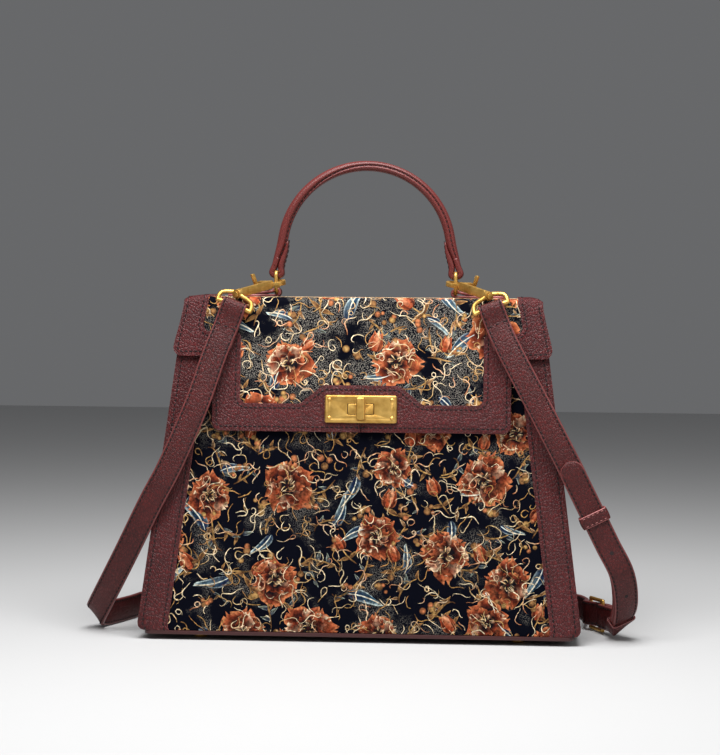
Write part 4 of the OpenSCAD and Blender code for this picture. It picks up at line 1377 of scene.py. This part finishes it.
RETURN_ROWS = [
    (RETURN_LENGTH, -4.1 * MM, 0.9 * MM), (18 * MM, -4 * MM, 2.3 * MM), (12.5 * MM, -3.2 * MM, 3.6 * MM),
    (8 * MM, -2.5 * MM, 4.2 * MM), (4.2 * MM, -2.4 * MM, 4.4 * MM),
]
OUTER_ROWS = [(4.2 * MM, 2.5 * MM, 4.4 * MM), (7.5 * MM, 2.1 * MM, 4.2 * MM), (11 * MM, 1.4 * MM, 3.4 * MM)]
end_rows = RETURN_ROWS + arc_rows(270, 90, 8, 2.8 * MM, 4.2 * MM) + OUTER_ROWS
for side, word in SIDES:
    _, stations = bar_ribbon(word + "_handle_end", end_rows, "handle", side, LEG_ANGLE, (RING_X, high_bar),
                             END_EDGE, -1, (handle_leather,))
    sew_edges("handle", stations[:END_SEWN], TAB_WIDTH, TAB_ROW, (1,))

tab_under = -(RING_WIRE + BAR_ROOM + TAB_WALL / 2)
tab_over = tab_under + TAB_WALL + BAR_ROOM
tab_rows = [(tab_under, TAB_LENGTH), (tab_under, TAB_LENGTH * 0.66), (tab_under, TAB_LENGTH * 0.33)]
tab_rows += [row[:2] for row in arc_rows(180, 430, 11, TAB_WALL, TAB_WALL)]
tab_rows += [(tab_over + 0.7 * MM, 5.5 * MM), (tab_over, 9 * MM), (tab_over, 17 * MM), (tab_over, 26 * MM)]
for side, word in SIDES:
    piece, stations = bar_ribbon(word + "_tab_band", [(*row, TAB_WALL) for row in tab_rows], "bag", side, 0,
                                 (RING_X, low_bar), TAB_EDGE, 1, (wine_leather, edge_paint_and_sheen))
    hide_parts(word + "_tab")
    sew_edges("bag", stations[-TAB_SEWN:], TAB_WIDTH, TAB_ROW, (1,))
print("handle radius", round(bow_radius, 4), "leg", round(leg_length, 4))

# %% [markdown]
# Stitches repeat by the thousand, so they are made by one Geometry Nodes tree. It takes the noted
# rows as lines, sets a point every few millimetres, puts a small pill of thread on each, lying along
# the row and square to the leather, and hands back plain mesh.


# %% Stitches
def stitch_tree():
    """Rows of lines in, rows of stitches out."""
    tree, given, result = new_group(
        "stitch_rows", "GeometryNodeTree",
        {"Rows": "Geometry", "Pitch": "Float", "Size": "Vector", "Thread": "Material"},
        {"Stitches": "Geometry"})

    def step(kind, inputs, output, **settings):
        return add_node(tree, kind, inputs, **settings).outputs[output]

    line = step("GeometryNodeMeshToCurve", {"Mesh": given["Rows"]}, "Curve")
    spaced = step("GeometryNodeResampleCurve", {"Curve": line, "Length": given["Pitch"]}, "Curve",
                  mode="LENGTH")
    pill = step("GeometryNodeMeshUVSphere", {"Segments": 6, "Rings": 4, "Radius": 0.5}, "Mesh")
    out = step("GeometryNodeInputNamedAttribute", {"Name": "out"}, "Attribute", data_type="FLOAT_VECTOR")
    upright = step("FunctionNodeAlignRotationToVector", {"Vector": out}, "Rotation", axis="Z")
    tangent = step("GeometryNodeInputTangent", {}, "Tangent")
    lying = step("FunctionNodeAlignRotationToVector", {"Rotation": upright, "Vector": tangent}, "Rotation",
                 axis="X", pivot_axis="Z")
    pills = {"Points": spaced, "Instance": pill, "Rotation": lying, "Scale": given["Size"]}
    placed = step("GeometryNodeInstanceOnPoints", pills, "Instances")
    real = step("GeometryNodeRealizeInstances", {"Geometry": placed}, "Geometry")
    dyed = step("GeometryNodeSetMaterial", {"Geometry": real, "Material": given["Thread"]}, "Geometry")
    feed(result, {"Stitches": dyed})
    return tree


STITCH_PITCH = 3.5 * MM
YARNS = {
    "dark": (thread, (2.8 * MM, 1.1 * MM, 0.6 * MM)),
    "pale": (pale_thread, (2.3 * MM, 0.8 * MM, 0.6 * MM)),
}
stitches = stitch_tree()
for (body, yarn), rows in stitch_rows.items():
    name = yarn + "_stitches_" + body
    dye, size = YARNS[yarn]
    points = []
    edges = []
    outs = []
    for row, row_outs in rows:
        edges += [(len(points) + k, len(points) + k + 1) for k in range(len(row) - 1)]
        points += [tuple(p) for p in row]
        outs += [tuple(o) for o in row_outs]
    mesh = bpy.data.meshes.new(name)
    mesh.from_pydata(points, edges, [])
    directions = mesh.attributes.new("out", "FLOAT_VECTOR", "POINT").data
    directions.foreach_set("vector", [c for o in outs for c in o])
    piece = add_object(name, mesh)
    sewing = piece.modifiers.new("sewing", "NODES")
    values = {"Pitch": STITCH_PITCH, "Size": size, "Thread": dye}
    sewing.node_group = stitches
    for socket in stitches.interface.items_tree:
        if socket.in_out == "INPUT" and socket.name in values:
            sewing[socket.identifier] = values[socket.name]
    baked(piece, 180)
    settle(piece, body, "leather")
    print(name, "has", len(rows), "rows and", len(piece.data.polygons), "faces")

# %% [markdown]
# The cloth carries a dense printed garden: rust blossoms, buds, blue sword leaves, tan sprigs, berries
# and fine cream tendrils on a stippled dark ground. The design is a made-up one, strewn by a fixed
# seed. Real ink of this kind is laid on thick, so each motif is a very thin raised shape with its own
# colours, drawn on the flat pattern and then bent onto the bag with the cloth.

# %% Motifs
INK = {
    "rust_dark": linear(52, 16, 12), "rust": linear(154, 62, 33), "orange": linear(206, 126, 82),
    "cream": linear(244, 222, 184), "tan": linear(168, 122, 76), "brown": linear(84, 52, 32),
    "teal": linear(46, 88, 106), "blue": linear(20, 33, 64), "pale": linear(206, 220, 216),
    "olive": linear(98, 98, 60), "gold": linear(198, 156, 94), "night": linear(14, 12, 18),
}
LEAF_INKS = (("brown", "tan", "gold"), ("brown", "tan", "cream"), ("blue", "olive", "pale"))
BERRY_INKS = ("tan", "gold", "orange")
TENDRIL_INKS = (("cream", "cream"), ("cream", "gold"), ("gold", "tan"), ("orange", "cream"))


def mixed(one, two, share):
    """A colour between two inks."""
    share = min(1, max(0, share))
    return tuple(a + (b - a) * share for a, b in zip(one, two))


def polar(origin, angle, reach, aside=0.0):
    """A flat place by how far it lies along a direction and to the left of it."""
    ca, sa = math.cos(angle), math.sin(angle)
    return (origin[0] + reach * ca - aside * sa, origin[1] + reach * sa + aside * ca)


class Garden:
    """Flat motifs with a height and a colour at each point."""

    def __init__(self, seed):
        self.dice = random.Random(seed)
        self.points = []
        self.colours = []
        self.faces = []

    def grid(self, rows, level_colour):
        """Adds a grid of flat points, coloured and raised by a function of its two shares."""
        first = len(self.points)
        down = len(rows)
        wide = len(rows[0])
        for i, row in enumerate(rows):
            for k, (x, y) in enumerate(row):
                height, colour = level_colour(i / (down - 1), 2 * k / (wide - 1) - 1)
                self.points.append((x, y, height))
                self.colours.append(colour)
        for i in range(down - 1):
            for k in range(wide - 1):
                a = first + i * wide + k
                self.faces.append((a, a + 1, a + wide + 1, a + wide))

    def petal(self, root, angle, length, width, inks, level, ruffle, bend, narrow=0.75, blunt=False):
        """A blunt petal or a pointed leaf from its root outwards, with three inks from root to rim."""
        base, middle, rim = (INK[name] for name in inks)
        phase = self.dice.uniform(0, 6)
        rows = []
        for i in range(9):
            u = i / 8
            half = width / 2 * math.sin(math.pi * min(0.97, 0.06 + 0.92 * u ** narrow)) ** 0.75
            if blunt:
                half = width / 2 * (0.1 + 0.9 * math.sin(math.pi / 2 * min(1, u / 0.7)))
                half *= math.sqrt(1 - 0.9 * max(0, (u - 0.7) / 0.3) ** 2)
            row = []
            for k in range(7):
                v = 2 * k / 6 - 1
                reach = length * u * (1 - 0.12 * v * v * u) * (1 + ruffle * math.sin(6 * v + phase) * u * u)
                row.append(polar(root, angle, reach, v * half + bend * length * u * u))
            rows.append(row)

        def ink(u, v):
            streak = 0.5 + 0.5 * math.sin(16 * v + 3 * u + phase)
            lit = max(0, u - 0.5) / 0.42 if blunt else 1.1 * u ** 1.4
            colour = mixed(base, middle, lit + 0.3 * (streak - 0.5))
            edge = max(0, (u - 0.84) / 0.16, (abs(v) - 0.8) / 0.2 * min(1, 1.6 * u))
            colour = mixed(colour, rim, 0.85 * edge + 0.3 * streak ** 3 * u)
            return level + 0.22 * MM * (1 - v * v) * math.sin(math.pi * min(1, u + 0.08)), colour

        self.grid(rows, ink)

    def stroke(self, line, width, inks, level):
        """A brush stroke along flat points, thin at both ends."""
        first, last = INK[inks[0]], INK[inks[1]]
        rows = []
        count = len(line) - 1
        for i, (x, y) in enumerate(line):
            before, after = line[max(0, i - 1)], line[min(count, i + 1)]
            dx, dy = after[0] - before[0], after[1] - before[1]
            size = math.hypot(dx, dy) or 1
            half = width / 2 * (0.35 + 0.65 * math.sin(math.pi * (i + 0.4) / (count + 0.8)))
            rows.append([(x + k * half * dy / size, y - k * half * dx / size) for k in (-1, 0, 1)])
        self.grid(rows, lambda u, v: (level + 0.12 * MM * (1 - abs(v)), mixed(first, last, u)))

    def wander(self, start, angle, length, curl, wobble, step=1.6 * MM):
        """Flat points of a line that curls and wobbles as it goes."""
        line = [start]
        drift = self.dice.uniform(-1, 1)
        for _ in range(max(3, int(length / step))):
            drift = 0.75 * drift + self.dice.uniform(-wobble, wobble)
            angle += curl + drift
            line.append(polar(line[-1], angle, step))
        return line

    def disc(self, middle, radius, inks, level):
        """A small round berry with a lit middle."""
        rim, lit = INK[inks[0]], INK[inks[1]]
        rows = []
        for i in range(4):
            reach = radius * (i + 0.02) / 3
            rows.append([polar(middle, t * math.pi / 5, reach) for t in range(11)])
        self.grid(rows, lambda u, v: (level + 0.3 * MM * (1 - u * u), mixed(lit, rim, u ** 1.5)))

    def blossom(self, middle, radius, level):
        """Three rings of ruffled petals round a dark eye with cream threads."""
        turn = self.dice.uniform(0, 6)
        for ring, (count, reach, inks) in enumerate((
                (6, 1.0, ("night", "rust", "orange")), (5, 0.8, ("rust_dark", "rust", "cream")),
                (5, 0.6, ("night", "rust", "orange")), (4, 0.4, ("night", "orange", "cream")))):
            for k in range(count):
                angle = turn + ring * 0.6 + 2 * math.pi * (k + self.dice.uniform(-0.15, 0.15)) / count
                size = radius * reach * self.dice.uniform(0.85, 1.12)
                self.petal(middle, angle, size, size * 0.98, inks, level + ring * 0.08 * MM, 0.14,
                           self.dice.uniform(-0.14, 0.14), blunt=True)
        self.disc(middle, radius * 0.1, ("night", "rust_dark"), level + 0.32 * MM)
        for k in range(6):
            angle = turn + 2 * math.pi * k / 6
            line = self.wander(polar(middle, angle, radius * 0.12), angle, radius * 0.25, 0.1, 0.2, 1.0 * MM)
            self.stroke(line, 0.7 * MM, ("gold", "cream"), level + 0.42 * MM)

    def bud(self, root, angle, size, level):
        """A closed bud of three petals on a stem with two small leaves."""
        stem = self.wander(root, angle + math.pi, size * 1.3, 0.06, 0.05)
        self.stroke(stem, 1.1 * MM, ("gold", "brown"), level)
        for side in (-1, 1):
            self.petal(root, angle + side * 0.42, size * 0.92, size * 0.5, ("rust_dark", "rust", "orange"),
                       level + 0.04 * MM, 0.04, -side * 0.22, 0.8)
            self.petal(stem[len(stem) // 2], angle + side * 1.1, size * 0.7, size * 0.22,
                       ("brown", "tan", "gold"), level, 0.03, side * 0.2)
        self.petal(root, angle, size, size * 0.46, ("rust", "orange", "cream"), level + 0.14 * MM,
                   0.03, 0, 0.85)

    def sword(self, root, angle, length, level):
        """A long blue leaf with a pale lit edge."""
        bend = self.dice.choice((-1, 1)) * self.dice.uniform(0.25, 0.55)
        self.petal(root, angle, length, length * 0.34, ("blue", "teal", "pale"), level, 0.05, bend)
        shares = (0.02, 0.2, 0.4, 0.6, 0.8, 0.97)
        line = [polar(root, angle, length * u, bend * length * u * u) for u in shares]
        self.stroke(line, 0.9 * MM, ("pale", "cream"), level + 0.25 * MM)

    def sprig(self, root, angle, length, level):
        """A tan stem with leaves to both sides."""
        stem = self.wander(root, angle, length, self.dice.uniform(-0.07, 0.07), 0.05, 2 * MM)
        self.stroke(stem, 1.2 * MM, ("brown", "gold"), level + 0.05 * MM)
        for k in range(2, len(stem), 2):
            side = 1 if k % 4 else -1
            size = length * self.dice.uniform(0.22, 0.34)
            inks = self.dice.choice(LEAF_INKS)
            self.petal(stem[k], angle + side * self.dice.uniform(0.5, 1.0), size, size * 0.36, inks, level,
                       0.03, side * 0.2)

    def berries(self, middle, level):
        """A loose cluster of tan berries."""
        for _ in range(self.dice.randint(3, 6)):
            spot = (middle[0] + self.dice.gauss(0, 3.4 * MM), middle[1] + self.dice.gauss(0, 3.4 * MM))
            radius = self.dice.uniform(1.5, 2.9) * MM
            self.disc(spot, radius, ("brown", self.dice.choice(BERRY_INKS)), level)


print("inks", len(INK))


# %% The strewn garden
INK_RISE = 0.45
PRINT_HEM = 9 * MM
TONGUE_HEM = 11 * MM
PRINT_FOOT = 0.4 * MM


def strewn(dice, box, spacing):
    """Places in offset rows about a spacing apart, each moved a little."""
    x0, x1, y0, y1 = box
    places = []
    row = 0
    y = y0
    while y <= y1:
        x = x0 + (row % 2) * spacing / 2
        while x <= x1:
            places.append((x + dice.uniform(-0.28, 0.28) * spacing, y + dice.uniform(-0.28, 0.28) * spacing))
            x += spacing
        y += spacing * 0.86
        row += 1
    return places


def grow(seed, box):
    """Fills a box of the flat pattern with motifs, the fine ones last."""
    garden = Garden(seed)
    dice = garden.dice
    blooms = strewn(dice, box, 62 * MM)
    for place in strewn(dice, box, 30 * MM):
        garden.sprig(place, dice.uniform(0, 6.3), dice.uniform(16, 28) * MM, 0.06 * MM)
    for place in strewn(dice, box, 44 * MM):
        garden.sword(place, dice.uniform(0, 6.3), dice.uniform(17, 27) * MM, 0.1 * MM)
    for place in strewn(dice, box, 34 * MM):
        garden.berries(place, 0.12 * MM)
    for place in strewn(dice, box, 56 * MM):
        garden.bud(place, dice.uniform(0.6, 2.5), dice.uniform(11, 16) * MM, 0.16 * MM)
    for place in blooms:
        garden.blossom(place, dice.uniform(13, 19) * MM, 0.24 * MM)
    for place in strewn(dice, box, 10 * MM):
        line = garden.wander(place, dice.uniform(0, 6.3), dice.uniform(8, 24) * MM,
                             dice.uniform(-0.1, 0.1), 0.55)
        ends = dice.choice(TENDRIL_INKS)
        garden.stroke(line, dice.uniform(0.4, 0.8) * MM, ends, dice.uniform(0.5, 0.7) * MM)
    return garden


def printed(name, garden, ink, at, lift, keep, cuts_along, trims):
    """Bends a garden onto the bag: keeps what is on the cloth, cuts it at bends, trims it at edges."""
    shape = bmesh.new()
    paint = shape.verts.layers.float_color.new("paint")
    verts = []
    for point, colour in zip(garden.points, garden.colours):
        vert = shape.verts.new(point)
        vert[paint] = colour
        verts.append(vert)
    for face in garden.faces:
        shape.faces.new([verts[i] for i in face])
    unwanted = [f for f in shape.faces if not keep(*f.calc_center_median()[:2])]
    bmesh.ops.delete(shape, geom=unwanted, context="FACES")
    for cuts, clear in ((cuts_along, False), (trims, True)):
        for cut in cuts:
            bmesh.ops.bisect_plane(shape, geom=shape.verts[:] + shape.edges[:] + shape.faces[:], dist=1e-7,
                                   plane_co=(0, cut, 0), plane_no=(0, -1, 0), clear_outer=clear)
    for vert in shape.verts:
        vert.co = at(vert.co.x, vert.co.y, lift + INK_RISE * vert.co.z)
    mesh = bpy.data.meshes.new(name)
    shape.to_mesh(mesh)
    shape.free()
    mesh.materials.append(ink)
    mesh.shade_smooth()
    settle(add_object(name, mesh), "bag", "print")
    print(name, len(mesh.polygons), "faces")


def on_panel(x, up):
    """Whether a place is on a body panel, out to under the strips."""
    return -3 * MM < up < slope - 6 * MM and abs(x) < half_width(up) - 8 * MM


def on_flap(x, along):
    """Whether a place is on the flap's cloth, out to under the border."""
    if along < bar_along - PRINT_HEM or along > back_along - PRINT_HEM:
        return False
    if along < shoulder_along - PRINT_HEM:
        return abs(x) < TONGUE_HALF - TONGUE_HEM
    return abs(x) < wing_half(along) - PRINT_HEM


panel_field = (-base_half, base_half, 0, slope)
flap_field = (-wing_low_half, wing_low_half, tongue_along, back_along)
# The panels take the darker, shaded inks and the flap the lighter, lit ones: painted shade and painted
# light.
for name, seed, at in (("front_print", 11, crowned_front), ("back_print", 23, crowned_back)):
    printed(name, grow(seed, panel_field), panel_ink_shaded, at, 0, on_panel, [], [PRINT_FOOT])
printed("flap_print", grow(37, flap_field), flap_ink_lit, flap_at, FLAP_WALL, on_flap, fold_cuts, [])
